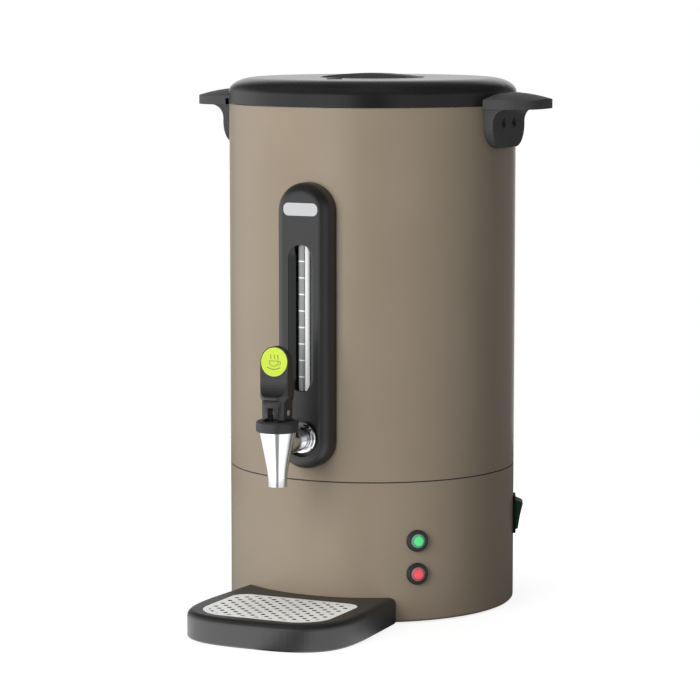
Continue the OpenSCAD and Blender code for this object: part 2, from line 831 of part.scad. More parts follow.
module switch_rocker() {
  corner_a = asin(rocker_lift / rocker_r);
  color("#1f4a35") on_wall(switch_az, switch_z) translate([0, 0, rocker_axis]) {
    rotate([rocker_tilt, 0, 0]) rotate([90, 0, 90]) linear_extrude(switch_in_w - 2 * rocker_gap, center = true)
      polygon(concat(
        arc(0, 0, rocker_r, -rocker_skirt, corner_a, 8), [[0, rocker_lift - rocker_dip]],
        arc(0, 0, rocker_r, 180 - corner_a, 180 + rocker_skirt, 8),
        [[-rocker_foot.x, -rocker_foot.y], [rocker_foot.x, -rocker_foot.y]]));
    rotate([0, 90, 0]) cylinder(r = axle_r, h = switch_in_w + 2 * axle_out, center = true);
  }
}

// Solid form of the panel, drawn in by a margin all round
module panel_form(margin) {
  half = panel_w / 2 - margin;
  face = panel_face - margin;
  fillet = max(panel_fillet - margin, seat_gap);
  profile = concat(
    [[0, panel_back], [half, panel_back]],
    arc(half - fillet, face - fillet, fillet, 0, 90, 10),
    [[0, face]]);
  run = panel_z1 - panel_z0 - panel_w;
  mid = (panel_z0 + panel_z1) / 2;
  on_wall(0, mid) {
    for (y = [-1, 1]) translate([0, y * run / 2, 0]) rotate_extrude() polygon(profile);
    for (side = [0, 1]) mirror([side, 0, 0]) translate([0, run / 2, 0]) rotate([90, 0, 0])
      linear_extrude(run) polygon(profile);
  }
}

module window_form(margin, r0, r1) {
  on_wall(0, window_mid) translate([0, 0, r0]) linear_extrude(r1 - r0)
    stadium(window_w + 2 * margin, window_z1 - window_z0 + 2 * margin);
}

module gauge_panel() {
  color(BLACK) difference() {
    union() {
      difference() {
        panel_form(0);
        panel_form(panel_wall);
      }
      intersection() {
        panel_form(panel_wall / 2);
        union() {
          window_form(window_collar, panel_back, panel_face);
          on_wall(0, tap_z) rod(recess_r + window_collar, panel_back, panel_face);
          for (x = [-1, 1]) translate([x * panel_screw_x, 0, 0]) on_wall(0, panel_screw_z)
            rod(panel_boss_r, panel_back, panel_face - panel_wall / 2);
        }
      }
    }
    body_bore(body_r + seat_gap);
    window_form(0, trough_floor, panel_face + past);
    on_wall(0, tap_z) rod(recess_r, recess_floor, panel_face + past);
    on_wall(0, tap_z) rod(shank_r + seat_gap, panel_back, panel_face);
    on_wall(0, tap_z) rod(tee_r + seat_gap, panel_back, tee_face + seat_gap);
    tee_riser(seat_gap);
    translate([0, -gauge_axis, 0]) {
      rod(gauge_r + seat_gap, gauge_z0, gauge_z1);
      rod(gauge_cup_r + seat_gap, gauge_z0 - gauge_cup_h, window_z0 - window_collar);
      rod(gauge_cup_r + seat_gap, window_z1 + window_collar, gauge_z1 + gauge_cup_h);
    }
    for (x = [-1, 1]) translate([x * panel_screw_x, 0, 0]) on_wall(0, panel_screw_z)
      rod(handle_shank_r + seat_gap, panel_back, body_r + cut_reach);
    on_wall(0, badge_z) translate([0, 0, panel_face - badge_seat]) linear_extrude(cut_reach)
      rounded_rect(badge_w + 2 * seat_gap, badge_h + 2 * seat_gap, badge_corner + seat_gap);
  }
}

module panel_screws() {
  head = sqrt(pow(shell_in_r, 2) - pow(panel_screw_x + panel_head_r, 2));
  color(STEEL) for (x = [-1, 1]) translate([x * panel_screw_x, 0, 0]) on_wall(0, panel_screw_z) {
    rod(panel_head_r, head - panel_head_h, head);
    rod(handle_shank_r, head - past, body_r + panel_screw_in);
  }
}

module badge_plate() {
  color(CHROME) on_wall(0, badge_z) translate([0, 0, panel_face - badge_seat]) linear_extrude(1.5 * badge_seat)
    rounded_rect(badge_w, badge_h, badge_corner);
}

module gauge_tube() {
  color("#d5e4e6") translate([0, -gauge_axis, 0]) tube(gauge_r, gauge_r - gauge_wall, gauge_z0, gauge_z1);
}

tee_wall = 3.5;
tee_r = shank_r + tee_wall;
recess_web = 1.6;
tee_face = recess_floor - recess_web;
tee_gap = 0.4;
tee_back = body_r + tee_gap;
riser_w = 10;
riser_bore_r = 1.8;
channel_w = 3;
channel_h = 2.5;
channel_z = gauge_z0 - gauge_cup_h + gauge_seal_t;

// Upright block that carries coffee from the shank to the foot of the gauge tube
module tee_riser(margin) {
  translate([-riser_w / 2 - margin, -gauge_axis - margin, tap_z])
    cube([riser_w + 2 * margin, gauge_axis - tee_back + margin, gauge_z0 - gauge_cup_h - tap_z + margin]);
}

module gauge_tee() {
  color(BLACK) difference() {
    union() {
      on_wall(0, tap_z) rod(tee_r, tee_back, tee_face);
      intersection() {
        tee_riser(0);
        on_wall(0, tap_z) translate([0, 0, tee_back]) linear_extrude(tee_face - tee_back)
          square(2 * body_r, center = true);
      }
      translate([0, -gauge_axis, 0])
        rod(gauge_cup_r, gauge_z0 - gauge_cup_h, window_z0 - window_collar - seat_gap);
    }
    on_wall(0, tap_z) rod(shank_r + seat_gap, panel_back, panel_face);
    translate([0, -gauge_axis, 0]) rod(gauge_r + seat_gap, gauge_z0 - gauge_seal_t, window_z0);
    translate([0, -gauge_axis, 0]) rod(gauge_port_r, channel_z, window_z0);
    translate([0, -(tee_back + tee_face) / 2, 0]) rod(riser_bore_r, tap_z, channel_z + channel_h / 2);
    translate([-channel_w / 2, -gauge_axis, channel_z])
      cube([channel_w, gauge_axis - (tee_back + tee_face) / 2, channel_h]);
  }
}

module gauge_cap() {
  color(BLACK) translate([0, -gauge_axis, 0]) difference() {
    rod(gauge_cup_r, window_z1 + window_collar + seat_gap, gauge_z1 + gauge_cup_h - move_gap);
    rod(gauge_r + seat_gap, window_z1, gauge_z1 + gauge_seal_t);
    rod(gauge_vent_r, window_z1, gauge_z1 + cut_reach);
  }
}

module gauge_seals() {
  color(SILICONE) translate([0, -gauge_axis, 0]) {
    tube(gauge_r, gauge_port_r, gauge_z0 - gauge_seal_t, gauge_z0);
    tube(gauge_r, gauge_port_r, gauge_z1, gauge_z1 + gauge_seal_t);
  }
}

// Radius of the spout at a height: straight at the tip, and flaring smoothly into a cone
function spout_r(z) =
  let (knee = spout_z0 + 10.6, slope = 0.22, blend = 5, trim = 0.12, d = z - knee)
  spout_tip_r + slope / 2 * (d + sqrt(d * d + blend * blend)) - trim;

module tap_body() {
  steps = 10;
  cone_z = tap_z - neck_r - past;
  flare = [for (i = [0:steps]) let (z = spout_z0 + (cone_z - spout_z0) * i / steps) [spout_r(z), z]];
  color(CHROME) difference() {
    union() {
      translate([0, -tap_axis, 0]) rotate_extrude() polygon(concat(
        [[0, spout_z0]], flare, [[spout_r(tap_top), tap_top], [spigot_r, tap_top],
          [spigot_r, tap_top + spigot_h], [0, tap_top + spigot_h]]));
      on_wall(0, tap_z) rod(neck_r, nut_end, tap_axis - neck_in);
      on_wall(0, tap_z) rod(shank_r, kettle_r - shank_in, nut_end + past);
    }
    translate([0, -tap_axis, 0]) rod(outlet_r, spout_z0 - past, tap_z);
    translate([0, -tap_axis, 0]) rod(chamber_r, seat_z, tap_top + cut_reach);
    on_wall(0, tap_z) rod(shank_bore_r, kettle_r - 2 * shank_in, tap_axis - neck_in / 2);
    translate([0, -(tee_back + tee_face) / 2, 0]) rod(riser_bore_r, tap_z, tap_top);
  }
}

module tap_nut() {
  color(CHROME) on_wall(0, tap_z) difference() {
    rotate_extrude() polygon([
      [0, recess_floor], [nut_r, recess_floor], [nut_r, panel_face - nut_bevel / 2],
      [nut_r - nut_bevel, panel_face + nut_bevel / 2], [neck_r + nut_collar, panel_face + nut_collar],
      [neck_r + nut_collar, nut_end], [0, nut_end]]);
    rod(shank_r + seat_gap, 0, tap_axis);
  }
}

module shank_spacer() {
  color(BLACK) difference() {
    on_wall(0, tap_z) tube(tee_r, shank_r + seat_gap, kettle_r, body_r);
    cylinder(r = kettle_out_r + seat_gap, h = rim_z);
    difference() {
      cylinder(r = 2 * body_r, h = rim_z);
      cylinder(r = shell_in_r - seat_gap, h = rim_z);
    }
  }
}

module shank_washer() {
  color(SILICONE) difference() {
    on_wall(0, tap_z) tube(shank_r + washer_w, shank_r + seat_gap, kettle_r - washer_t, body_r);
    difference() {
      cylinder(r = 2 * body_r, h = rim_z);
      cylinder(r = kettle_r - seat_gap, h = rim_z, $fn = 240);
    }
  }
}

module shank_nut() {
  color(BRASS) on_wall(0, tap_z) difference() {
    translate([0, 0, kettle_r - washer_t - shank_nut_h])
      cylinder(r = shank_r + shank_nut_w, h = shank_nut_h, $fn = 6);
    rod(shank_r + seat_gap, 0, body_r);
  }
}

module tap_bonnet() {
  inside_z = bonnet_top - bonnet_plate_t;
  color(BLACK) translate([0, -tap_axis, 0]) difference() {
    rotate_extrude() polygon(concat(
      [[0, tap_top], [bonnet_r - bonnet_bevel, tap_top], [bonnet_r, tap_top + bonnet_bevel]],
      arc(bonnet_r - bonnet_round, bonnet_top - bonnet_round, bonnet_round, 0, 90, 6), [[0, bonnet_top]]));
    rod(spigot_r + seat_gap, 0, inside_z);
    rod(stem_r + run_gap, 0, bonnet_top + past);
  }
}

module valve_stem() {
  color(STEEL) translate([0, -tap_axis, 0]) difference() {
    union() {
      rod(stem_r, seat_z + stem_sunk, pin_z);
      rod(chamber_r - stem_collar_gap, seat_z + cup_h, seat_z + cup_h + stem_collar_t);
      intersection() {
        translate([0, 0, pin_z]) rotate([0, 90, 0]) cylinder(r = eye_r, h = 2 * stem_r, center = true);
        translate([-stem_r, -eye_r, bonnet_top]) cube([2 * stem_r, 2 * eye_r, 3 * eye_r]);
      }
    }
    translate([0, 0, pin_z]) rotate([0, 90, 0]) cylinder(r = pin_r + run_gap, h = 4 * stem_r, center = true);
  }
}

module seat_cup() {
  color(SILICONE) translate([0, -tap_axis, 0]) difference() {
    rotate_extrude() polygon([
      [0, seat_z], [chamber_r - stem_collar_gap, seat_z], [chamber_r - cup_gap, seat_z + cup_gap],
      [chamber_r - stem_collar_gap, seat_z + cup_h], [0, seat_z + cup_h]]);
    rod(stem_r + run_gap, seat_z + stem_sunk, seat_z + 2 * cup_h);
  }
}

spring_wire_r = 0.5;
spring_r = 5.2;
spring_turns = 5;
spring_z0 = seat_z + cup_h + stem_collar_t + spring_wire_r + seat_gap;
spring_z1 = bonnet_top - bonnet_plate_t - spring_wire_r - seat_gap;
spring_steps = 10 * spring_turns;
spring_path = [for (i = [0:spring_steps]) let (s = i / spring_steps, a = 360 * spring_turns * s)
  [spring_r * cos(a), spring_r * sin(a) - tap_axis, spring_z0 + (spring_z1 - spring_z0) * s]];
echo(spring_gap_mm = (spring_z1 - spring_z0) / spring_turns - 2 * spring_wire_r);

module valve_spring() {
  color(STEEL) sweep(spring_path, spring_wire_r, 6, [0, 0, 1]);
}

// Side outline of the lever, in y from the tap's axis and z: the heel is an involute, so lift follows angle
function heel_point(a) =
  let (h = heel + heel_rate * a * PI / 180)
  [-h * sin(a) - heel_rate * cos(a), pin_z - h * cos(a) + heel_rate * sin(a)];

lever_lip_rise = 13.5;
lever_flare_rise = 27;
lever_lip_z = pin_z + lever_lip_rise;
lever_flare_z = pin_z + lever_flare_rise;
lever_lean = 6.5;
lever_back = 10;
lever_front = -6.6;
lever_shin = -11.6;
lever_lip = [-9.8, -1.2];
lever_lip_r = 2.2;
lever_waist = 4;
lever_recess = 2.5;
lever_tip_back = 1.5;
lever_flare_back = 4;
lever_curve = 4;
lever_neck_in = 2.4;
lever_neck_bevel = 0.4;
lever_lip_out = 0.2;
lever_turn_out = 0;
lever_lip_turn_out = 1.2;
disc_t = 1.1;
disc_seat = 0.8;
lever_pin_short = 2.4;

function lever_side() = concat(
  [[lever_back, pin_z - heel]],
  [for (a = [0:6:54]) heel_point(a)],
  [[lever_shin, pin_z + pin_r], [lever_shin + lever_recess, lever_lip_z - lever_waist]],
  arc(lever_lip.x, lever_lip_z + lever_lip.y, lever_lip_r, 220, 140, 5),
  [for (i = [1:6]) let (s = i / 6)
    [lever_front - lever_curve * pow(1 - s, 2), lever_lip_z + (lever_flare_z - lever_lip_z) * s]],
  [[lever_front + (lever_top - lever_flare_z) * tan(lever_lean), lever_top],
    [lever_tip_back, lever_top], [lever_flare_back, lever_flare_z], [lever_back, lever_lip_z - lever_waist]]);

module tap_lever() {
  w = lever_half_w;
  hub = w - lever_neck_in;
  lip = w + lever_lip_out;
  turn_r = w + lever_lip_turn_out;
  foot_z = pin_z - heel - past;
  waist_z = lever_lip_z - lever_waist;
  color(BLACK) translate([0, -tap_axis, 0]) difference() {
    intersection() {
      rotate([90, 0, 90]) linear_extrude(3 * w, center = true) polygon(lever_side());
      rotate([90, 0, 0]) linear_extrude(6 * w, center = true) polygon(concat(
        [[lever_neck_bevel - hub, foot_z], [hub - lever_neck_bevel, foot_z], [hub, waist_z],
          [lip, lever_lip_z - lever_waist / 4], [lip, lever_lip_z], [w, lever_flare_z]],
        arc(0, lever_top - w, w, 0, 180, 24),
        [[-w, lever_flare_z], [-lip, lever_lip_z], [-lip, lever_lip_z - lever_waist / 4], [-hub, waist_z]]));
      rotate_extrude() polygon([
        [0, foot_z], [w + lever_turn_out, foot_z], [w + lever_turn_out, waist_z],
        [turn_r, lever_lip_z], [turn_r, lever_top + past], [0, lever_top + past]]);
    }
    translate([-fork_gap / 2, -2 * w, pin_z - 2 * heel])
      cube([fork_gap, 2 * w + eye_r + move_gap, 2 * heel + eye_r + move_gap]);
    translate([0, 0, pin_z]) rotate([0, 90, 0]) cylinder(r = pin_r + run_gap, h = 4 * w, center = true);
    lever_disc_place() cylinder(r = lever_disc_d / 2 + seat_gap, h = cut_reach);
  }
}

// Place of the disc: z stands square to the lever's leaning face
module lever_disc_place() {
  mid = lever_top - lever_half_w;
  y = lever_front + (mid - lever_flare_z) * tan(lever_lean);
  translate([0, y, mid]) rotate([90 - lever_lean, 0, 0]) translate([0, 0, -disc_seat]) children();
}

module lever_disc() {
  color("#d8f03c") translate([0, -tap_axis, 0]) lever_disc_place() cylinder(r = lever_disc_d / 2, h = disc_t);
}

module lever_pin() {
  color(STEEL) translate([0, -tap_axis, pin_z]) rotate([0, 90, 0])
    cylinder(r = pin_r, h = 2 * (lever_half_w - lever_pin_short), center = true);
}

module handle_plan() {
  root = body_r - handle_root;
  polygon(concat(
    [[body_r - handle_in, -handle_half_w]],
    moved(squircle(handle_tip_r - root, handle_half_w, handle_square, -90, 90, 28), [root, 0]),
    [[body_r - handle_in, handle_half_w]]));
}

module handle() {
  half = handle_half_w - plate_inset;
  root = body_r - handle_in;
  head_z = handle_face_r - handle_head_sunk;
  crown_z = rim_z + grip_crown;
  difference() {
    intersection() {
      translate([0, 0, handle_z0 - past]) linear_extrude(crown_z - handle_z0 + 2 * past) handle_plan();
      union() {
        intersection() {
          translate([root, -2 * half, grip_z0]) cube([body_r, 4 * half, crown_z]);
          translate([body_r + past, 0, crown_z - grip_dome_r]) sphere(grip_dome_r, $fn = 180);
        }
        translate([root, 0, 0]) rotate([90, 0, 90]) linear_extrude(handle_face_r - root) polygon(concat(
          arc(-half + handle_corner, handle_z0 + handle_corner, handle_corner, 180, 270, 10),
          arc(half - handle_corner, handle_z0 + handle_corner, handle_corner, 270, 360, 10),
          [[half, grip_z0 + past], [-half, grip_z0 + past]]));
        translate([handle_face_r, 0, grip_z0]) rotate([90, 0, 0]) linear_extrude(2 * half, center = true)
          polygon(concat([[grip_fillet, past], [-past, past], [-past, -grip_fillet]],
            arc(grip_fillet, -grip_fillet, grip_fillet, 180, 90, 10)));
      }
    }
    body_bore(body_r + seat_gap);
    translate([0, 0, rim_z - seat_gap]) cylinder(r = lid_r + move_gap, h = handle_drop);
    lock_slot(-lock_turn - lug_half_angle - lug_play_angle, slot_open_angle, slot_r, slot_z0, slot_z1);
    lock_slot(-lug_half_angle - lug_play_angle, lug_half_angle + lug_play_angle, slot_r + lug_gap,
      slot_z0 + past, crown_z + past);
    for (y = [-1, 1]) translate([0, y * handle_screw_gap / 2, handle_screw_z]) rotate([0, 90, 0]) {
      rod(handle_shank_r + seat_gap, root, handle_tip_r);
      translate([0, 0, head_z - handle_head_h])
        cylinder(r1 = handle_shank_r + seat_gap, r2 = handle_head_r + seat_gap, h = handle_head_h);
      rod(handle_head_r + seat_gap, head_z, handle_tip_r);
    }
  }
}

// Groove for a locking lug, between two angles about the body's axis
module lock_slot(a0, a1, r, z0, z1) {
  rotate([0, 0, a0]) rotate_extrude(angle = a1 - a0)
    translate([body_r - past, z0]) square([r - body_r + past, z1 - z0]);
}

module right_handle() { color(BLACK) handle(); }
module left_handle() { color(BLACK) rotate([0, 0, 180]) handle(); }

module handle_screws() {
  color(STEEL) handle_screw_places() {
    translate([0, 0, handle_face_r - handle_head_sunk - handle_head_h])
      cylinder(r1 = handle_shank_r, r2 = handle_head_r, h = handle_head_h);
    rod(handle_shank_r, shell_in_r - strip_tail, handle_face_r - handle_head_h);
  }
}

module handle_strips() {
  color(STEEL) for (side = [0, 180]) rotate([0, 0, side]) difference() {
    intersection() {
      tube(shell_in_r - seat_gap, shell_in_r - seat_gap - strip_t,
        handle_screw_z - strip_half_h, handle_screw_z + strip_half_h);
      translate([0, -handle_screw_gap, 0]) cube([body_r, 2 * handle_screw_gap, rim_z]);
    }
    for (y = [-1, 1]) translate([0, y * handle_screw_gap / 2, handle_screw_z]) rotate([0, 90, 0])
      rod(handle_shank_r + seat_gap, kettle_r, body_r);
  }
}

// Half section of the lid's wall, drawn in by a margin
function lid_curve(margin) =
  [for (i = [0:shoulder_steps]) let (a = 90 * i / shoulder_steps)
    [lid_r - lid_shoulder_w + (lid_shoulder_w - margin) * cos(a), dome_z + (lid_dome_h - margin) * sin(a)]];

module lid_shell() {
  color(BLACK) difference() {
    union() {
      rotate_extrude() polygon(concat(
        [[lid_in_r, lid_z0], [lid_r - lid_bevel, lid_z0], [lid_r, lid_z0 + lid_bevel]], lid_curve(0),
        [[dish_r + dish_bevel, lid_top], [dish_r, lid_top - dish_bevel]],
        arc(dish_r - dish_corner, dish_floor_z + dish_corner, dish_corner, 0, -90, 6),
        [[0, dish_floor_z], [0, dish_floor_z - lid_wall]],
        arc(dish_r - dish_corner, dish_floor_z + dish_corner, dish_corner + lid_wall, -90, 0, 6),
        [[dish_r + lid_wall, lid_top - lid_wall]], reversed(lid_curve(lid_wall))));
      tube(skirt_r, skirt_r - lid_skirt_t, rim_z - lid_skirt_drop, web_z + lid_skirt_up);
      tube(lid_in_r + past, skirt_r - past, web_z, web_z + lid_web_t);
      for (side = [0, 180]) rotate([0, 0, side - lug_half_angle]) rotate_extrude(angle = 2 * lug_half_angle)
        translate([lid_in_r + past, lid_z0]) square([lug_r - lid_in_r - past, lug_t]);
    }
    grip_screw_places() rod(grip_shank_r + seat_gap, dish_floor_z - cut_reach, lid_top);
  }
}

module grip_screw_places() {
  for (x = [-1, 1]) translate([x * (grip_half - grip_leg / 2), 0, 0]) children();
}

module lid_grip() {
  top = lid_top + grip_rise;
  low = top - grip_bar_t;
  color(BLACK) difference() {
    rotate([90, 0, 0]) linear_extrude(grip_bar_w, center = true) difference() {
      polygon(concat(
        [[grip_foot - grip_half, dish_floor_z], [grip_half - grip_foot, dish_floor_z],
          [grip_half, dish_floor_z + grip_foot]],
        [for (i = [0:16]) let (x = grip_half * (1 - i / 8)) [x, top - grip_sag * pow(x / grip_half, 2)]],
        [[-grip_half, dish_floor_z + grip_foot]]));
      translate([0, (dish_floor_z + low) / 2 - grip_foot])
        rounded_rect(2 * (grip_half - grip_leg), low - dish_floor_z + 2 * grip_foot, grip_foot / 2);
    }
    grip_screw_places() rod(grip_shank_r + seat_gap, dish_floor_z - past, low);
  }
}

module grip_screws() {
  color(STEEL) grip_screw_places() {
    rod(grip_head_r, dish_floor_z - lid_wall - grip_head_h, dish_floor_z - lid_wall);
    rod(grip_shank_r, dish_floor_z - lid_wall - past, dish_floor_z + grip_foot);
  }
}

module lid_seal() {
  color(SILICONE) rotate_extrude() polygon([
    [kettle_r + seal_in, flange_z], [flange_r - seal_in / 2, flange_z],
    [flange_r - seal_in, web_z - seal_in], [flange_r - seal_in, web_z], [kettle_r + seal_in, web_z]]);
}

module pump_tube() {
  color(STEEL) difference() {
    union() {
      rod(pump_r, kettle_floor + bell_h - bell_lip, pump_top);
      rod(pump_r + pump_collar, basket_z0 - pump_collar, basket_z0 - seat_gap);
    }
    rod(pump_r - pump_wall, kettle_floor, pump_top + past);
  }
}

module pump_bell() {
  neck = pump_r + seat_gap;
  lip_z = kettle_floor + bell_lip;
  color(STEEL) difference() {
    rotate_extrude() polygon(concat(
      [[bell_r - basket_t, kettle_floor], [bell_r, kettle_floor]],
      [for (a = [0:10:90]) [neck + (bell_r - neck) * cos(a), lip_z + (bell_h - bell_lip) * sin(a)]],
      [for (a = [90:-10:0])
        [neck + (bell_r - basket_t - neck) * cos(a), lip_z + (bell_h - bell_lip - basket_t) * sin(a)]]));
    for (i = [1:bell_notches]) rotate([0, 0, 360 * i / bell_notches])
      translate([bell_r, 0, kettle_floor]) rotate([0, 90, 0])
        cylinder(r = bell_notch_r, h = cut_reach, center = true);
  }
}

// Rings of small holes between two radii
module sieve_holes(r0, r1, step) {
  for (r = [r0:step:r1]) let (n = floor(2 * PI * r / step))
    for (i = [0:n - 1]) rotate(360 * i / n) translate([r, 0]) circle(sieve_hole_r);
}

module filter_basket() {
  color(STEEL) {
    translate([0, 0, basket_z0]) linear_extrude(basket_t) difference() {
      circle(basket_r);
      circle(pump_r + seat_gap);
      sieve_holes(pump_r + sieve_step, basket_r - sieve_edge, sieve_step);
    }
    tube(basket_r, basket_r - basket_t, basket_z0, basket_z1);
    tube(pump_r + seat_gap + basket_t, pump_r + seat_gap, basket_z0, basket_z0 + basket_hub_h);
  }
}

module basket_cover() {
  rim_r = basket_r - basket_t - move_gap;
  color(STEEL) {
    translate([0, 0, basket_z1]) linear_extrude(basket_t) difference() {
      circle(basket_r + cover_over);
      circle(pump_r + move_gap);
      sieve_holes(pump_r + cover_step, basket_r - cover_edge, cover_step);
    }
    tube(rim_r, rim_r - basket_t, basket_z1 - cover_rim_h, basket_z1 + basket_t);
  }
}

// Outline of the tray at a height, drawn in by a margin: full and round in front, straight at the sides
function tray_ring(z, margin) =
  let (half = tray_half_w - margin, rear = tray_half_w + past)
  [for (p = concat(
    moved(squircle(half, tray_front - tray_wide - margin, tray_square, 180, 360, 40), [0, -tray_wide]),
    [[half - tray_taper, -rear], [tray_taper - half, -rear]])) [p.x, p.y, z]];

module grid_outline(margin) {
  w = grid_w - 2 * margin;
  l = grid_l - 2 * margin;
  front_r = grid_front_r - margin;
  back_r = grid_back_r - margin;
  translate([0, grid_y0 + margin]) {
    translate([-w / 2 + front_r, 0]) square([w - 2 * front_r, l]);
    translate([-w / 2, front_r]) square([w, l - front_r - back_r]);
    translate([-w / 2 + back_r, front_r]) square([w - 2 * back_r, l - front_r]);
    for (x = [-1, 1]) translate([x * (w / 2 - front_r), front_r]) circle(front_r);
    for (x = [-1, 1]) translate([x * (w / 2 - back_r), l - back_r]) circle(back_r);
  }
}

module drip_tray() {
  color(BLACK) difference() {
    skin(concat([tray_ring(0, tray_bevel), tray_ring(tray_bevel, 0)], [for (a = [0:18:90])
      tray_ring(tray_h - tray_fillet * (1 - sin(a)), tray_fillet * (1 - cos(a)))]));
    body_bore(body_r + move_gap);
    translate([0, 0, grid_z]) linear_extrude(tray_h) grid_outline(-move_gap);
    translate([0, 0, tray_floor]) linear_extrude(tray_h) grid_outline(grid_ledge);
  }
}

module drip_grid() {
  reach = ceil(grid_w / grid_step);
  color(STEEL) translate([0, 0, grid_z]) linear_extrude(grid_t) difference() {
    grid_outline(0);
    intersection() {
      grid_outline(grid_border);
      translate([0, (grid_y0 + grid_y1) / 2]) for (i = [-reach:reach], j = [-reach:reach])
        if ((i + j) % 2 == 0 && abs(i * grid_step) < grid_w / 2 && abs(j * grid_step) < grid_l / 2)
          translate([i * grid_step, j * grid_step]) circle(grid_hole_d / 2);
    }
  }
}

base_shell();
outer_shell();
joining_ring();
support_ring();
bottom_plate();
bottom_screws();
foot_ring();
kettle();
heat_plate();
heating_element();
thermostat();
thermal_cutout();
terminal_block();
wiring();
mains_inlet();
inlet_pins();
green_lamp_bezel();
green_lamp_lens();
red_lamp_bezel();
red_lamp_lens();
lamp_nuts();
switch_frame();
switch_rocker();
gauge_panel();
panel_screws();
badge_plate();
gauge_tube();
gauge_tee();
gauge_cap();
gauge_seals();
tap_body();
tap_nut();
shank_spacer();
shank_washer();
shank_nut();
tap_bonnet();
valve_stem();
seat_cup();
valve_spring();
tap_lever();
lever_disc();
lever_pin();
right_handle();
left_handle();
handle_screws();
handle_strips();
lid_shell();
lid_grip();
grip_screws();
lid_seal();
pump_tube();
pump_bell();
filter_basket();
basket_cover();
drip_tray();
drip_grid();
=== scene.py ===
# %% [markdown]
# # A coffee urn with a lever tap
# The urn is a double-walled steel can with moulded black fittings: a flat-topped lid, two side handles, a
# level gauge in a long panel, a chromed tap with a lever, two pilot lamps, a rocker switch and a drip tray.
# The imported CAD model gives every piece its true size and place, so it is loaded as a fixed frame. What is
# left for this lesson is light, finishes, softened edges and the small printed and moulded details.

# %% Load the frame
import math

import bmesh
import bpy
from mathutils import Matrix, Vector


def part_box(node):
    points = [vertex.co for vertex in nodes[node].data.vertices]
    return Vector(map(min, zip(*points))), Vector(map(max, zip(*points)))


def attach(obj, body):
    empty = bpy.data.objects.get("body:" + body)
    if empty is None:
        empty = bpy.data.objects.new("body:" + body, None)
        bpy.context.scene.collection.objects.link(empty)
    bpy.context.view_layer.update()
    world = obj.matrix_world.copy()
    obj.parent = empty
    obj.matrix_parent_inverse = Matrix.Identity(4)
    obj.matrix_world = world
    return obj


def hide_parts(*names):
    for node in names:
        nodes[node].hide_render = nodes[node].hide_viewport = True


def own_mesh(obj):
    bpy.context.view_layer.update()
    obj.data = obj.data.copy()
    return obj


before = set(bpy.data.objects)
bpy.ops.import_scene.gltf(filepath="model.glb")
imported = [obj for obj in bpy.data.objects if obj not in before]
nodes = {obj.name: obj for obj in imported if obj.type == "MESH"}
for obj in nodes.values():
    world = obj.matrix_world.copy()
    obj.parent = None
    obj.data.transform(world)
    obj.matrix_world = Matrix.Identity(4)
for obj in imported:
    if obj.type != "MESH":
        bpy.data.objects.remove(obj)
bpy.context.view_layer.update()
MM = 0.001
scene = bpy.context.scene

# %% [markdown]
# ## Camera
# The photograph was taken with a long lens from a little above the tap's height, from the front right.
# A camera could be placed by eye, but a small error in angle bends every ellipse of the round body. These
# values were fitted to known points of the urn, such as its rim, seam and tray, so they are used as they are.

# %% Camera
PICTURE_PX, FOCAL_PX = 700, 2984.8
SENSOR_MM = 36
CAMERA_AT = (1.0600, -2.2732, 0.5147)
CAMERA_DOWN_DEG, CAMERA_TURN_DEG = 6.911, 25.432
SIGHT_M = 20

camera_data = bpy.data.cameras.new("view_camera")
camera_data.sensor_width = SENSOR_MM
camera_data.lens = SENSOR_MM * FOCAL_PX / PICTURE_PX
camera_data.clip_end = SIGHT_M
camera = bpy.data.objects.new("view_camera", camera_data)
camera.location = CAMERA_AT
camera.rotation_euler = (math.radians(90 - CAMERA_DOWN_DEG), 0, math.radians(CAMERA_TURN_DEG))
scene.collection.objects.link(camera)
scene.camera = camera
print("lens", round(camera_data.lens, 1), "mm, at", CAMERA_AT)

# %% [markdown]
# ## Helpers for colour and nodes
# Colours are picked as sRGB hex values, the way a paint or plastic is described on a screen, while shaders
# calculate in linear light. One function converts them. One more adds a node with its settings and links,
# so that a material reads as a list of what feeds what.

# %% Colour and node helpers
WHITE = (1, 1, 1, 1)
PATCH_DETAIL, GRAIN_DETAIL = 3, 2
# Noise gathers round its middle, so only this part of it is spread over the tones and over the gloss
TONE_SPAN, GLOSS_SPAN = (0.35, 0.65), (0.3, 0.7)
# Sockets of a Mix node that mixes colours
MIX_SHARE, MIX_A, MIX_B, MIX_RESULT = 0, 6, 7, 2


def linear(colour):
    """Linear RGBA of an sRGB hex colour."""
    channels = [int(colour[i:i + 2], 16) / 255 for i in (1, 3, 5)]
    return [c / 12.92 if c <= 0.04045 else ((c + 0.055) / 1.055) ** 2.4 for c in channels] + [1]


def add_node(tree, kind, inputs=None, **settings):
    """Adds a node. Settings are its own options, and an input is a fixed value or a socket to link."""
    node = tree.nodes.new(kind)
    for name, value in settings.items():
        setattr(node, name, value)
    for name, value in (inputs or {}).items():
        if isinstance(value, bpy.types.NodeSocket):
            tree.links.new(value, node.inputs[name])
        else:
            node.inputs[name].default_value = value
    return node


def new_material(name, **sockets):
    """A material with these constant values; underscores stand for the spaces in socket names."""
    material = bpy.data.materials.new(name)
    material.use_nodes = True
    shader = material.node_tree.nodes["Principled BSDF"]
    for socket, value in sockets.items():
        shader.inputs[socket.replace("_", " ")].default_value = value
    return material


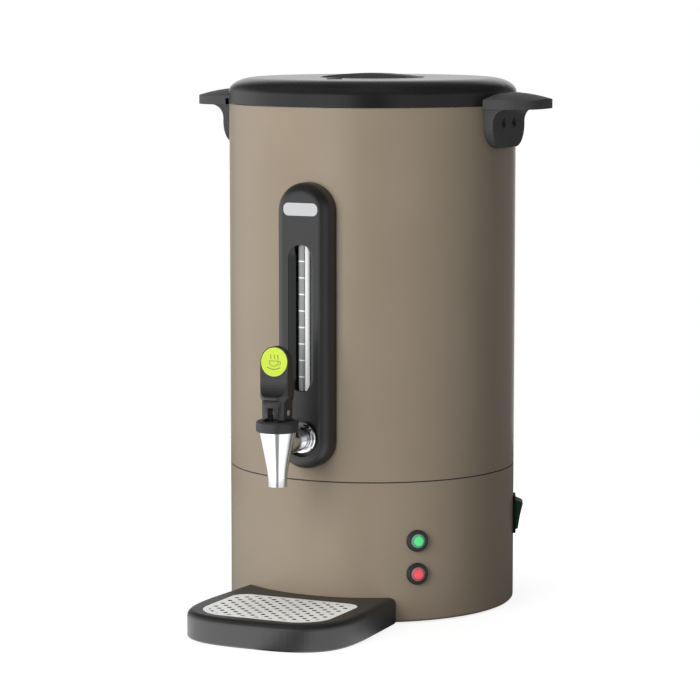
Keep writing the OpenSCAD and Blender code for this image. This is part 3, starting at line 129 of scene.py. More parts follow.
def add_surface(material, tones, roughness, grain_mm, depth_mm, patch_mm=40, stretch=(1, 1, 1)):
    """Gives a material its real unevenness.

    tones are two hex colours that large soft patches drift between, and roughness is a low and a high value.
    grain_mm and depth_mm are the size and height of the fine texture. stretch draws it out along an axis.
    """
    tree = material.node_tree
    shader = tree.nodes["Principled BSDF"]
    place = add_node(tree, "ShaderNodeTexCoord").outputs["Object"]
    stretched = add_node(tree, "ShaderNodeMapping", {"Vector": place, "Scale": stretch}).outputs["Vector"]
    patches = add_node(tree, "ShaderNodeTexNoise",
                       {"Vector": place, "Scale": 1 / (patch_mm * MM), "Detail": PATCH_DETAIL})
    grain = add_node(tree, "ShaderNodeTexNoise",
                     {"Vector": stretched, "Scale": 1 / (grain_mm * MM), "Detail": GRAIN_DETAIL})
    drift = add_node(tree, "ShaderNodeValToRGB", {"Fac": patches.outputs["Fac"]})
    for stop, at, tone in zip(drift.color_ramp.elements, TONE_SPAN, tones):
        stop.position, stop.color = at, linear(tone)
    gloss = add_node(tree, "ShaderNodeMapRange",
                     {"Value": grain.outputs["Fac"], "From Min": GLOSS_SPAN[0], "From Max": GLOSS_SPAN[1],
                      "To Min": roughness[0], "To Max": roughness[1]})
    bump = add_node(tree, "ShaderNodeBump", {"Height": grain.outputs["Fac"], "Distance": depth_mm * MM})
    tree.links.new(drift.outputs["Color"], shader.inputs["Base Color"])
    tree.links.new(gloss.outputs["Result"], shader.inputs["Roughness"])
    tree.links.new(bump.outputs["Normal"], shader.inputs["Normal"])


def retone(material, share, tone):
    """Gives a material this tone where share is 0, and leaves its own where share is 1."""
    tree = material.node_tree
    base = tree.nodes["Principled BSDF"].inputs["Base Color"]
    own = base.links[0].from_socket
    mixed = add_node(tree, "ShaderNodeMix", {MIX_SHARE: share, MIX_A: linear(tone), MIX_B: own},
                     data_type="RGBA")
    tree.links.new(mixed.outputs[MIX_RESULT], base)


print("taupe in linear light", [round(c, 3) for c in linear("#968876")])

# %% [markdown]
# ## Studio walls
# Polished metal has no look of its own: it shows what stands round it. Real panels could be built as white
# boards, but they would also light the urn. Here the walls are only a brightness by direction, which mirrors
# alone see: a wide bright wall on the left, the dark gap where the camera stands, a dimmer wall on the right
# and the bright backdrop behind.

# %% Studio walls
WALL_LIGHT = 1.6
# Share of the wall's light by azimuth in degrees, from the front towards the right
WALLS = {-180: 0.10, -168: 0.75, -146: 0.75, -134: 0.10, -85: 1.0, 4: 1.0, 16: 0.08, 34: 0.08, 45: 0.5,
         100: 0.45, 128: 0.08, 150: 0.16, 165: 0.16, 180: 0.10}
# On the floor round the tap, which the spout mirrors, the right wall is brighter and the backdrop is missing
POOL_WALLS = {**WALLS, -180: 0, -168: 0, -146: 0, 45: 0.85, 100: 0.7, 128: 0, 150: 0, 165: 0, 180: 0}


def add_walls(tree, direction, walls):
    """A socket with the walls' share of light in a direction."""
    x, y, _ = add_node(tree, "ShaderNodeSeparateXYZ", {"Vector": direction}).outputs
    ahead = add_node(tree, "ShaderNodeMath", {0: y, 1: -1}, operation="MULTIPLY").outputs["Value"]
    azimuth = add_node(tree, "ShaderNodeMath", {0: x, 1: ahead}, operation="ARCTAN2").outputs["Value"]
    around = add_node(tree, "ShaderNodeMapRange",
                      {"Value": azimuth, "From Min": -math.pi, "From Max": math.pi})
    ramp = add_node(tree, "ShaderNodeValToRGB", {"Fac": around.outputs["Result"]})
    stops = ramp.color_ramp.elements
    while len(stops) < len(walls):
        stops.new(0.5)
    for stop, (degrees, share) in zip(stops, walls.items()):
        stop.position, stop.color = (degrees + 180) / 360, (share, share, share, 1)
    return ramp.outputs["Color"]


print("wall changes", len(WALLS), "brightest", max(WALLS.values()) * WALL_LIGHT)

# %% [markdown]
# ## Floor
# The urn stands on white paper. A white colour alone would need so much light that the urn would bleach, so
# the paper is a mid grey that also glows for the camera. It glows less near the urn, where a faint shadow
# shows, and melts into the white room further out. Round the tap it carries what the chromed spout mirrors.

# %% Floor
FLOOR_RADIUS, FLOOR_SIDES = 0.9, 128
FLOOR_GLOW, GLOW_START = 0.82, 0.15
POOL_FULL, POOL_END = 0.50, 0.85
TAP_Y = -178.5

floor_mesh = bmesh.new()
bmesh.ops.create_circle(floor_mesh, cap_ends=True, segments=FLOOR_SIDES, radius=FLOOR_RADIUS)
floor_data = bpy.data.meshes.new("floor")
floor_mesh.to_mesh(floor_data)
floor_mesh.free()
floor = bpy.data.objects.new("floor", floor_data)
scene.collection.objects.link(floor)

# Uncoated paper from a roll: dead matt, with hardly any drift of tone.
paper = new_material("studio_paper_matt", Specular_IOR_Level=0.2, Emission_Color=WHITE)
add_surface(paper, ("#7e7e7e", "#828282"), (0.85, 0.95), grain_mm=3, depth_mm=0.02, patch_mm=300)
floor_data.materials.append(paper)

tree = paper.node_tree
path = add_node(tree, "ShaderNodeLightPath").outputs
position = add_node(tree, "ShaderNodeNewGeometry").outputs["Position"]
offset = add_node(tree, "ShaderNodeVectorMath", {0: position, 1: (0, TAP_Y * MM, 0)},
                  operation="SUBTRACT").outputs["Vector"]
distance = add_node(tree, "ShaderNodeVectorMath", {0: offset}, operation="LENGTH").outputs["Value"]
pool = add_node(tree, "ShaderNodeMapRange", {"Value": distance, "From Min": POOL_FULL, "From Max": POOL_END,
                                             "To Min": WALL_LIGHT, "To Max": 0}).outputs["Result"]
pool_light = add_node(tree, "ShaderNodeMath", {0: pool, 1: add_walls(tree, offset, POOL_WALLS)},
                      operation="MULTIPLY").outputs["Value"]
mirrored = add_node(tree, "ShaderNodeMath", {0: pool_light, 1: path["Is Glossy Ray"]},
                    operation="MULTIPLY").outputs["Value"]
glow = add_node(tree, "ShaderNodeMapRange", {"Value": distance, "From Min": GLOW_START, "From Max": POOL_FULL,
                                             "To Min": FLOOR_GLOW, "To Max": 1.0}).outputs["Result"]
seen = add_node(tree, "ShaderNodeMath", {0: path["Is Camera Ray"], 1: path["Is Transmission Ray"]},
                operation="MAXIMUM").outputs["Value"]
strength = add_node(tree, "ShaderNodeMath", {0: seen, 1: glow, 2: mirrored}, operation="MULTIPLY_ADD")
tree.links.new(strength.outputs["Value"], tree.nodes["Principled BSDF"].inputs["Emission Strength"])
print("floor glow near the urn", FLOOR_GLOW)

# %% [markdown]
# ## Room
# The world stands for the rest of the studio. White that is only seen directly costs no light on the urn, so
# the room is white for the camera and through the clear tube, while surfaces get a weak even light from it.
# Mirrors find the walls there, which end at a dim ceiling.

# %% Room
AMBIENT = 0.35
CEILING_START, CEILING_FULL, CEILING_SHARE = 0.15, 0.5, 0.1

room = bpy.data.worlds.new("white_room")
scene.world = room
room.use_nodes = True
tree = room.node_tree
path = add_node(tree, "ShaderNodeLightPath").outputs
direction = add_node(tree, "ShaderNodeTexCoord").outputs["Generated"]
rise = add_node(tree, "ShaderNodeSeparateXYZ", {"Vector": direction}).outputs["Z"]
wall_light = add_node(tree, "ShaderNodeMapRange",
                      {"Value": rise, "From Min": CEILING_START, "From Max": CEILING_FULL,
                       "To Min": WALL_LIGHT, "To Max": CEILING_SHARE * WALL_LIGHT}).outputs["Result"]
mirrored = add_node(tree, "ShaderNodeMath", {0: add_walls(tree, direction, WALLS), 1: wall_light},
                    operation="MULTIPLY").outputs["Value"]
soft = add_node(tree, "ShaderNodeMix", {"Factor": path["Is Glossy Ray"], "A": AMBIENT, "B": mirrored})
seen = add_node(tree, "ShaderNodeMath", {0: path["Is Camera Ray"], 1: path["Is Transmission Ray"]},
                operation="MAXIMUM").outputs["Value"]
level = add_node(tree, "ShaderNodeMix", {"Factor": seen, "A": soft.outputs["Result"], "B": 1.0})
background = tree.nodes["Background"]
background.inputs["Color"].default_value = WHITE
tree.links.new(level.outputs["Result"], background.inputs["Strength"])
print("soft light of the room", AMBIENT)

# %% [markdown]
# ## Soft boxes
# The round body shades from pale on the left to dark on the right, so the main lamp is a broad box to the
# left of the camera. A weak one further left fills that side, and one above lights the lid and the tray. A
# small lamp would be simpler, but its hard shadow would not suit the photograph.

# %% Soft boxes
def soft_box(name, azimuth, elevation, distance, size, power, aim_z):
    """An area lamp that looks at the urn's axis at height aim_z; azimuth runs from the front to the right."""
    data = bpy.data.lights.new(name, "AREA")
    data.shape = "RECTANGLE"
    data.size, data.size_y = size
    data.energy = power
    lamp = bpy.data.objects.new(name, data)
    turn, rise = math.radians(azimuth), math.radians(elevation)
    offset = Vector((math.sin(turn) * math.cos(rise), -math.cos(turn) * math.cos(rise), math.sin(rise)))
    lamp.location = Vector((0, 0, aim_z)) + distance * offset
    lamp.rotation_euler = offset.to_track_quat("Z", "Y").to_euler()
    lamp.visible_glossy = False
    scene.collection.objects.link(lamp)


soft_box("key_box", azimuth=-10, elevation=16, distance=2.0, size=(0.9, 1.6), power=31, aim_z=0.12)
soft_box("left_box", azimuth=-80, elevation=15, distance=1.8, size=(0.7, 1.6), power=4, aim_z=0.22)
soft_box("top_box", azimuth=0, elevation=80, distance=1.8, size=(0.8, 0.8), power=13, aim_z=0.22)

# %% [markdown]
# ## Paint, plastics and rubbers
# Each finish is named for the real material and the way its surface was made. Paint, mouldings and sheet
# metal are never quite even: tones drift over a few centimetres, and a fine grain breaks up the gloss. The
# grain of moulded plastic and paint is finer than a pixel here, so it is drawn coarse enough to show.

# %% Paint, plastics and rubbers
# Polyester powder coat over steel: satin, with the soft ripple of melted powder.
taupe_coat = new_material("powder_coated_steel_taupe_satin", IOR=1.5, Specular_IOR_Level=0.3)
add_surface(taupe_coat, ("#968876", "#938573"), (0.28, 0.31), grain_mm=0.8, depth_mm=0.003, patch_mm=60)

# ABS moulded in a spark-eroded tool: black, with a fine even grain that spreads its highlights.
black_abs = new_material("ABS_moulded_black_satin", IOR=1.53, Specular_IOR_Level=0.4)
add_surface(black_abs, ("#2a2a2b", "#2f2f30"), (0.4, 0.48), grain_mm=0.8, depth_mm=0.012)
# The panel and the lever are a deeper black with a livelier sheen, so their edges fall off darker.
panel_abs = new_material("ABS_moulded_deep_black_satin", IOR=1.53, Specular_IOR_Level=0.55)
add_surface(panel_abs, ("#161617", "#19191a"), (0.36, 0.44), grain_mm=0.8, depth_mm=0.008)
# The drip tray is wiped every day, which leaves it the shiniest: a dark top, with pale upright faces.
tray_abs = new_material("ABS_moulded_black_wiped", IOR=1.53, Specular_IOR_Level=0.8)
add_surface(tray_abs, ("#1a1a1b", "#1e1e1f"), (0.4, 0.48), grain_mm=0.8, depth_mm=0.012)
# The lid comes out of a smoother tool and the handles out of a rougher one. The handles are also painted
# paler than the other black mouldings, which paints in the light their plates catch. The frame of the switch
# is nylon, which moulds duller than ABS.
lid_abs = new_material("ABS_moulded_black_semi_gloss", IOR=1.53, Specular_IOR_Level=0.25)
add_surface(lid_abs, ("#1c1c1d", "#202021"), (0.22, 0.28), grain_mm=0.8, depth_mm=0.004)
handle_abs = new_material("ABS_moulded_black_coarse_grain_painted_paler", IOR=1.53, Specular_IOR_Level=0.3)
add_surface(handle_abs, ("#3c3c3d", "#414142"), (0.45, 0.55), grain_mm=0.8, depth_mm=0.012)
switch_nylon = new_material("nylon_moulded_black_matt", IOR=1.53, Specular_IOR_Level=0.1)
add_surface(switch_nylon, ("#1c1c1d", "#202021"), (0.6, 0.68), grain_mm=0.8, depth_mm=0.006)

# Polypropylene and phenolic parts inside the base, duller than the visible mouldings.
dull_black = new_material("polypropylene_moulded_black_dull", IOR=1.49)
add_surface(dull_black, ("#202020", "#272726"), (0.5, 0.62), grain_mm=0.9, depth_mm=0.03)

# Nylon terminal block, moulded in its natural cream colour.
cream_nylon = new_material("nylon_moulded_natural", IOR=1.53)
add_surface(cream_nylon, ("#e2dccd", "#e8e3d6"), (0.45, 0.55), grain_mm=0.8, depth_mm=0.02)

# EPDM foot ring and silicone seals: soft rubbers with a matt skin.
black_rubber = new_material("EPDM_rubber_moulded", IOR=1.5)
add_surface(black_rubber, ("#262626", "#2d2d2c"), (0.7, 0.82), grain_mm=0.7, depth_mm=0.03)
clear_silicone = new_material("silicone_rubber_moulded_translucent", IOR=1.41, Subsurface_Weight=0.3,
                              Subsurface_Scale=0.003)
add_surface(clear_silicone, ("#d4d0c8", "#dcd8d0"), (0.4, 0.5), grain_mm=0.8, depth_mm=0.01)
lead_silicone = new_material("silicone_rubber_extruded_on_wire", IOR=1.41)
add_surface(lead_silicone, ("#c2bcae", "#cec8ba"), (0.45, 0.55), grain_mm=0.8, depth_mm=0.01)
print("plastics and rubbers", [m.name for m in bpy.data.materials if "mould" in m.name])

# %% [markdown]
# ## Metals
# The kettle is brushed stainless sheet, the grid is bead-blasted, and the tap is chromed brass. A metal's
# colour is the colour of its mirror image, so the tones are pale and the roughness tells the metals apart.
# Brushed and blasted metal also catches the soft boxes, which mirrors here do not see, so it is made partly
# metallic and scatters their light instead.

# %% Metals
# Stainless sheet with a brushed grain that runs along X.
brushed_steel = new_material("stainless_steel_brushed_sheet", Metallic=0.55)
add_surface(brushed_steel, ("#cfd0d1", "#c4c6c8"), (0.26, 0.36), grain_mm=0.7, depth_mm=0.006,
            stretch=(0.06, 1, 1))

# Bead-blasted stainless grid: the blasting scatters light so widely that the sheet looks almost white.
blasted_steel = new_material("stainless_steel_bead_blasted", Metallic=0.15)
add_surface(blasted_steel, ("#f2f3f2", "#ecedec"), (0.45, 0.55), grain_mm=0.7, depth_mm=0.01)
# Painted shade: faces that stand upright, the walls of the punched holes, are given a dark tone for the shade
# inside the holes.
UPRIGHT_UNTIL, FLAT_FROM = 0.4, 0.8
tree = blasted_steel.node_tree
facing = add_node(tree, "ShaderNodeNewGeometry").outputs["True Normal"]
upward = add_node(tree, "ShaderNodeSeparateXYZ", {"Vector": facing}).outputs["Z"]
unshaded_share = add_node(tree, "ShaderNodeMapRange",
                    {"Value": upward, "From Min": UPRIGHT_UNTIL, "From Max": FLAT_FROM}).outputs["Result"]
retone(blasted_steel, unshaded_share, "#2c2c2c")

# Chrome plating over polished brass: a clean mirror with only a trace of ripple.
chrome = new_material("brass_polished_and_chrome_plated", Metallic=1)
add_surface(chrome, ("#e4e6e8", "#dfe1e3"), (0.05, 0.08), grain_mm=6, depth_mm=0.004)

# Zinc-plated steel screws and strips: a bluish grey with a soft gloss.
zinc_steel = new_material("steel_zinc_plated", Metallic=1)
add_surface(zinc_steel, ("#b4b6b8", "#a6a9ad"), (0.3, 0.42), grain_mm=0.8, depth_mm=0.01)

# Brass turned on a lathe and left plain: a warm yellow.
plain_brass = new_material("brass_turned", Metallic=1)
add_surface(plain_brass, ("#c8aa62", "#b99a52"), (0.25, 0.35), grain_mm=0.7, depth_mm=0.01)

# Cast aluminium heat plate with a dull skin, and the element's sheath, browned by heat.
cast_aluminium = new_material("aluminium_cast", Metallic=1)
add_surface(cast_aluminium, ("#b4b7bb", "#a8abaf"), (0.45, 0.6), grain_mm=1.2, depth_mm=0.06)
element_steel = new_material("steel_oxidised_by_heat", Metallic=1)
add_surface(element_steel, ("#6f675e", "#5e564c"), (0.4, 0.55), grain_mm=1.0, depth_mm=0.02)

# Anodised aluminium for the bare plate: a silky grey-white.
silver_badge = new_material("aluminium_satin_anodised", Metallic=1)
add_surface(silver_badge, ("#babbbc", "#b3b4b5"), (0.3, 0.36), grain_mm=0.7, depth_mm=0.004)
metals = [brushed_steel, blasted_steel, chrome, zinc_steel, plain_brass, cast_aluminium, element_steel,
          silver_badge]
print("metals", [m.name for m in metals])

# %% [markdown]
# ## Clear and tinted plastics
# The gauge tube, the lamp lenses and the rocker are polycarbonate. The tube is clear, so light passes through
# it. The lenses are tinted in the mass: light scatters inside them, which subsurface scattering gives without
# the noise of a glass full of dye. The lamps are on, so the lenses glow a little.

# %% Clear and tinted plastics
LAMP_GLOW = 0.25

# Extruded gauge tube: clear, with a faint waviness from the die.
clear_tube = new_material("polycarbonate_extruded_clear", IOR=1.585, Transmission_Weight=1)
add_surface(clear_tube, ("#eef3f3", "#f4f7f7"), (0.03, 0.06), grain_mm=5, depth_mm=0.01)

# Moulded lenses and rocker: glossy lenses that light seeps into, and a darker, duller rocker.
green_lens = new_material("polycarbonate_tinted_green", IOR=1.585, Subsurface_Weight=0.5,
                          Subsurface_Scale=0.004, Emission_Color=linear("#45df82"),
                          Emission_Strength=LAMP_GLOW)
add_surface(green_lens, ("#45df82", "#57ea92"), (0.12, 0.2), grain_mm=0.9, depth_mm=0.04)
red_lens = new_material("polycarbonate_tinted_red", IOR=1.585, Subsurface_Weight=0.5,
                        Subsurface_Scale=0.004, Emission_Color=linear("#ee4456"),
                        Emission_Strength=LAMP_GLOW)
add_surface(red_lens, ("#ee4456", "#f25363"), (0.12, 0.2), grain_mm=0.9, depth_mm=0.04)
green_rocker = new_material("polycarbonate_tinted_dark_green", IOR=1.585, Specular_IOR_Level=0.15)
add_surface(green_rocker, ("#0f3d27", "#14472e"), (0.5, 0.6), grain_mm=0.9, depth_mm=0.01)

# Lime disc: screen-printed polyester film under a gloss varnish.
lime_film = new_material("polyester_film_printed_lime", IOR=1.57, Coat_Weight=0.5, Coat_Roughness=0.1)
add_surface(lime_film, ("#b8d01a", "#c0d826"), (0.28, 0.34), grain_mm=0.9, depth_mm=0.004)
print("clear and tinted", [m.name for m in (clear_tube, green_lens, red_lens, green_rocker, lime_film)])

# %% [markdown]
# ## Dress the frame
# Every solid of the frame gets its finish, hidden ones too, because the lid and the tray come off. A list of
# nodes for each finish shows at a glance what is made of what.

# %% Dress the frame
FINISHES = {
    taupe_coat: ["base_shell", "outer_shell"],
    black_abs: ["tap_bonnet", "green_lamp_bezel", "red_lamp_bezel"],
    tray_abs: ["drip_tray"],
    panel_abs: ["gauge_panel", "tap_lever"],
    lid_abs: ["lid_shell"],
    handle_abs: ["right_handle", "left_handle", "lid_grip"],
    switch_nylon: ["switch_frame"],
    dull_black: ["joining_ring", "thermostat", "thermal_cutout", "mains_inlet", "lamp_nuts", "gauge_tee",
                 "gauge_cap", "shank_spacer"],
    cream_nylon: ["terminal_block"],
    black_rubber: ["foot_ring"],
    clear_silicone: ["gauge_seals", "shank_washer", "seat_cup", "lid_seal"],
    lead_silicone: ["wiring"],
    brushed_steel: ["kettle", "pump_tube", "pump_bell", "filter_basket", "basket_cover", "bottom_plate",
                    "valve_stem", "lever_pin", "valve_spring"],
    blasted_steel: ["drip_grid"],
    chrome: ["tap_body", "tap_nut"],
    zinc_steel: ["support_ring", "bottom_screws", "panel_screws", "handle_screws", "handle_strips",
                 "grip_screws"],
    plain_brass: ["inlet_pins", "shank_nut"],
    cast_aluminium: ["heat_plate"],
    element_steel: ["heating_element"],
    silver_badge: ["badge_plate"],
    clear_tube: ["gauge_tube"],
    green_lens: ["green_lamp_lens"],
    red_lens: ["red_lamp_lens"],
    green_rocker: ["switch_rocker"],
    lime_film: ["lever_disc"],
}
for material, names in FINISHES.items():
    for name in names:
        nodes[name].data.materials.clear()
        nodes[name].data.materials.append(material)
dressed = [name for names in FINISHES.values() for name in names]
print("dressed", len(dressed), "of", len(nodes), "nodes; bare:", sorted(set(nodes) - set(dressed)))

# %% [markdown]
# ## Softer edges
# A moulded or pressed edge is never a perfect corner: it catches a thin line of light. The CAD meshes may not
# be changed, so modifiers do it. The first two weld the mesh and merge its flat triangles. The third rounds
# each sharp edge by a fraction of a millimetre, and its hardened normals keep the wide faces shading flat.

# %% Softer edges
WELD_MM, FLAT_DEG = 0.002, 0.4
SHARP_DEG, EDGE_STEPS = 38, 3
EDGES_MM = {"right_handle": 0.9, "left_handle": 0.9, "gauge_panel": 0.5, "tap_bonnet": 0.4, "tap_lever": 0.5,
            "lid_grip": 0.8, "switch_frame": 0.4, "mains_inlet": 0.4, "switch_rocker": 0.4,
            "badge_plate": 0.2}
for name, width_mm in EDGES_MM.items():
    modifiers = nodes[name].modifiers
    modifiers.new("weld", "WELD").merge_threshold = WELD_MM * MM
    flat = modifiers.new("flat", "DECIMATE")
    flat.decimate_type = "DISSOLVE"
    flat.angle_limit = math.radians(FLAT_DEG)
    edge = modifiers.new("edge", "BEVEL")
    edge.width = width_mm * MM
    edge.segments = EDGE_STEPS
    edge.limit_method = "ANGLE"
    edge.angle_limit = math.radians(SHARP_DEG)
    edge.miter_outer = "MITER_ARC"
    edge.harden_normals = True
print("softened", sorted(EDGES_MM))

# %% [markdown]
# ## Tools for small pieces
# Printed signs, screw heads and mouldings are small meshes made from points in millimetres. A piece could be
# modelled by hand with primitives, but rings of points joined into a skin keep every size readable. The wall
# frame puts a piece on the round body: x runs along the wall, y is up and z points away from the axis.

# %% Mesh helpers
# Points nearer than this are one point, and printed pieces are sunk by a little so that no gap shows
SAME_POINT = 1e-7
SUNK_MM = 0.02


def skin(rings, first):
    """Faces over a stack of closed rings with the same count of points, with both ends capped."""
    count = len(rings[0])
    last = first + (len(rings) - 1) * count
    faces = []
    for start in range(first, last, count):
        for j in range(count):
            a, b = start + j, start + (j + 1) % count
            faces.append((a, b, b + count, a + count))
    return faces + [tuple(first + j for j in reversed(range(count))), tuple(last + j for j in range(count))]


def add_piece(name, stacks, material, body, stands_for=(), crease_deg=35):
    """A mesh piece that rides on a CAD body, with a skin over each stack of rings in millimetres."""
    points, faces = [], []
    for rings in stacks:
        faces += skin(rings, len(points))
        points += [Vector(p) * MM for ring in rings for p in ring]
    data = bpy.data.meshes.new(name)
    data.from_pydata(points, [], faces)
    mesh = bmesh.new()
    mesh.from_mesh(data)
    bmesh.ops.remove_doubles(mesh, verts=mesh.verts, dist=SAME_POINT)
    bmesh.ops.recalc_face_normals(mesh, faces=mesh.faces)
    mesh.to_mesh(data)
    mesh.free()
    data.shade_smooth()
    data.set_sharp_from_angle(angle=math.radians(crease_deg))
    data.materials.append(material)
    piece = bpy.data.objects.new(name, data)
    scene.collection.objects.link(piece)
    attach(piece, body)
    if stands_for:
        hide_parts(*stands_for)
    return piece


def spread(start, end, steps):
    """Evenly spread values from start to end, both included."""
    return [start + (end - start) * i / steps for i in range(steps + 1)]


def turns(count):
    """Angles of evenly spread points round a full circle."""
    return [2 * math.pi * i / count for i in range(count)]


def wall(azimuth, z):
    """Frame on the body's wall, in millimetres: x along the wall, y up, z away from the axis."""
    return (Matrix.Rotation(math.radians(azimuth), 4, "Z") @ Matrix.Translation((0, 0, z))
            @ Matrix.Rotation(math.radians(90), 4, "X"))


print("at azimuth 0 the wall looks along", [round(v) for v in wall(0, 0).to_3x3().col[2]])

# %% [markdown]
# ## Gauge scale
# The tube carries a printed scale of short white ticks towards the left. Under them, a grey band is a painted
# reflection of the grey the tube mirrors there. On the right, a white stripe with a faint glow is a painted
# highlight of a soft box. The level is read in the clear gap between them. An image on the tube would blur
# close up, so all are thin curved patches on the tube's outside.

# %% Gauge scale
TUBE_Y, TUBE_R = -129.5, 4.5
INK_MM, REFLECTION_BAND_MM = 0.10, 0.05
LEFT_BAND_DEG, LEFT_BAND_STEPS = (-62, 27), 14
HIGHLIGHT_DEG, HIGHLIGHT_STEPS, PAINTED_GLOW = (34, 90), 10, 0.4
SCALE_Z = (192.2, 309.9)
TICK_COUNT, TICK_START, TICK_STEP, TICK_HEIGHT = 8, 203.5, 13.36, 1.1


def tube_patch(degrees, heights, thick, steps):
    """Rings of a curved patch on the gauge tube; angles run from the front towards the right."""
    inner, outer = TUBE_R - SUNK_MM, TUBE_R + thick
    low, high = heights
    section = [(inner, low), (outer, low), (outer, high), (inner, high)]
    angles = [math.radians(a) for a in spread(*degrees, steps)]
    return [[(r * math.sin(a), TUBE_Y - r * math.cos(a), z) for r, z in section] for a in angles]


# Fired enamel for the ticks: a hard white with a soft gloss.
white_enamel = new_material("enamel_white_fired", IOR=1.5)
add_surface(white_enamel, ("#f2f3f2", "#eceeed"), (0.2, 0.28), grain_mm=0.9, depth_mm=0.004)
ticks = []
for i in range(TICK_COUNT):
    z = TICK_START + TICK_STEP * i
    ticks.append(tube_patch(LEFT_BAND_DEG, (z - TICK_HEIGHT / 2, z + TICK_HEIGHT / 2), INK_MM, LEFT_BAND_STEPS))
add_piece("gauge_ticks", ticks, white_enamel, "urn")

# Painted reflection: an even grey band that stands for the grey the clear tube mirrors on its left.
grey_reflection_band = new_material("painted_reflection_grey_band", IOR=1.585)
add_surface(grey_reflection_band, ("#8f9090", "#898a8a"), (0.4, 0.5), grain_mm=0.6, depth_mm=0.004)
reflection_band = tube_patch(LEFT_BAND_DEG, SCALE_Z, REFLECTION_BAND_MM, LEFT_BAND_STEPS)
add_piece("gauge_painted_reflection", [reflection_band], grey_reflection_band, "urn")

# Painted highlight: a white stripe with a faint painted glow, standing for a soft box mirrored in the clear
# tube.
painted_highlight = new_material("painted_highlight_white", IOR=1.5, Emission_Color=linear("#f4f5f5"),
                           Emission_Strength=PAINTED_GLOW)
add_surface(painted_highlight, ("#f4f5f5", "#eeefef"), (0.3, 0.4), grain_mm=0.9, depth_mm=0.004)
highlight_stripe = tube_patch(HIGHLIGHT_DEG, SCALE_Z, INK_MM, HIGHLIGHT_STEPS)
add_piece("gauge_painted_highlight", [highlight_stripe], painted_highlight, "urn")
print("ticks from", TICK_START, "to", round(TICK_START + TICK_STEP * (TICK_COUNT - 1), 1), "mm")

# %% [markdown]
# ## Window cove
# The sides of the gauge window slope down to the tube, so light falls into the window. Each slope is a wedge
# along one side of the window. It gets thinner round the window's ends, and is gone before it meets the tube.

# %% Window cove
PANEL_FACE = -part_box("gauge_panel")[0][1] / MM
WINDOW_HALF, WINDOW_Z = 11.25, (191.6, 310.5)
COVE_W, COVE_DROP, COVE_FLOOR = 4.8, 4.2, 123.45
EDGE_ROUND, COVE_SUNK, TUBE_CLEAR = 0.55, 0.05, 5.2
LEAST_SHARE, END_STEPS = 0.02, 12


def cove_ring(side, turn, z):
    """Section of one wedge where the window's outline looks this way, with its middle at height z."""
    c, s = math.cos(turn), math.sin(turn)
    share = max((WINDOW_HALF * c - TUBE_CLEAR) / (WINDOW_HALF - TUBE_CLEAR), LEAST_SHARE)
    outer, top = WINDOW_HALF + COVE_SUNK, PANEL_FACE - EDGE_ROUND
    inner, low = outer - COVE_W * share, top - COVE_DROP * share
    return [(side * off * c, -depth, z + off * s)
            for off, depth in ((outer, top), (inner, low), (inner, COVE_FLOOR), (outer, COVE_FLOOR))]


end_turn = math.acos(TUBE_CLEAR / WINDOW_HALF)
low_end, high_end = WINDOW_Z[0] + WINDOW_HALF, WINDOW_Z[1] - WINDOW_HALF
wedges = [[cove_ring(side, turn, low_end) for turn in spread(-end_turn, 0, END_STEPS)]
          + [cove_ring(side, turn, high_end) for turn in spread(0, end_turn, END_STEPS)] for side in (-1, 1)]
add_piece("window_cove", wedges, panel_abs, "urn")
print("cove from", PANEL_FACE - EDGE_ROUND, "to", COVE_FLOOR, "mm off the axis")

# %% [markdown]
# ## Sign on the lever
# A faint generic sign of a steaming cup is printed on the lime disc. Its strokes are flat ribbons that stand
# a few hundredths of a millimetre proud, like a thick screen print.

# %% Lever sign
DISC_Y, DISC_Z, DISC_TILT_DEG, DISC_TOP = -183.54, 221.2, 83.5, 0.3
DISC_PLACE = Matrix.Translation((0, DISC_Y, DISC_Z)) @ Matrix.Rotation(math.radians(DISC_TILT_DEG), 4, "X")
SIGN_SCALE, SIGN_MIDDLE, SIGN_INK_MM = 1.15, 1.5, 0.05
STEAM_U, STEAM_V, STEAM_SWAY, STEAM_LINE, STEAM_STEPS = (-2.7, 0, 2.7), (3.4, 6.6), 0.25, 0.55, 10
CUP_U, CUP_RIM, CUP_R, CUP_LINE = -0.25, 2.2, 3.65, 0.45
EAR_U, EAR_V, EAR_R = 3.6, 0.9, 1.3
SAUCER_V, SAUCER_R, SAUCER_LINE = 6.5, 10, 0.6


def arc(cx, cy, r, start, end, steps):
    """Points along an arc, with angles in degrees."""
    angles = [math.radians(a) for a in spread(start, end, steps)]
    return [(cx + r * math.cos(a), cy + r * math.sin(a)) for a in angles]


def ribbon(path, width):
    """Rings along a flat path on the disc, with a rectangular section."""
    rings = []
    for i, (u, v) in enumerate(path):
        before, after = path[max(i - 1, 0)], path[min(i + 1, len(path) - 1)]
        along = Vector((after[0] - before[0], after[1] - before[1])).normalized()
        side = Vector((-along.y, along.x)) * width / 2
        u, v = SIGN_SCALE * u, SIGN_SCALE * (v - SIGN_MIDDLE)
        section = [(-1, -SUNK_MM), (1, -SUNK_MM), (1, SIGN_INK_MM), (-1, SIGN_INK_MM)]
        rings.append([DISC_PLACE @ Vector((u + s * side.x, v + s * side.y, DISC_TOP + h))
                      for s, h in section])
    return rings


sway = [STEAM_SWAY * math.sin(a) for a in spread(0, 2 * math.pi, STEAM_STEPS)]
strokes = [(list(zip([u + du for du in sway], spread(*STEAM_V, STEAM_STEPS))), STEAM_LINE) for u in STEAM_U]
strokes += [([(CUP_U - CUP_R, CUP_RIM), (CUP_U + CUP_R, CUP_RIM)], CUP_LINE),
            (arc(CUP_U, CUP_RIM, CUP_R, 180, 360, 20), CUP_LINE),
            (arc(EAR_U, EAR_V, EAR_R, 110, -120, 12), CUP_LINE),
            (arc(CUP_U, SAUCER_V, SAUCER_R, 240, 300, 14), SAUCER_LINE)]
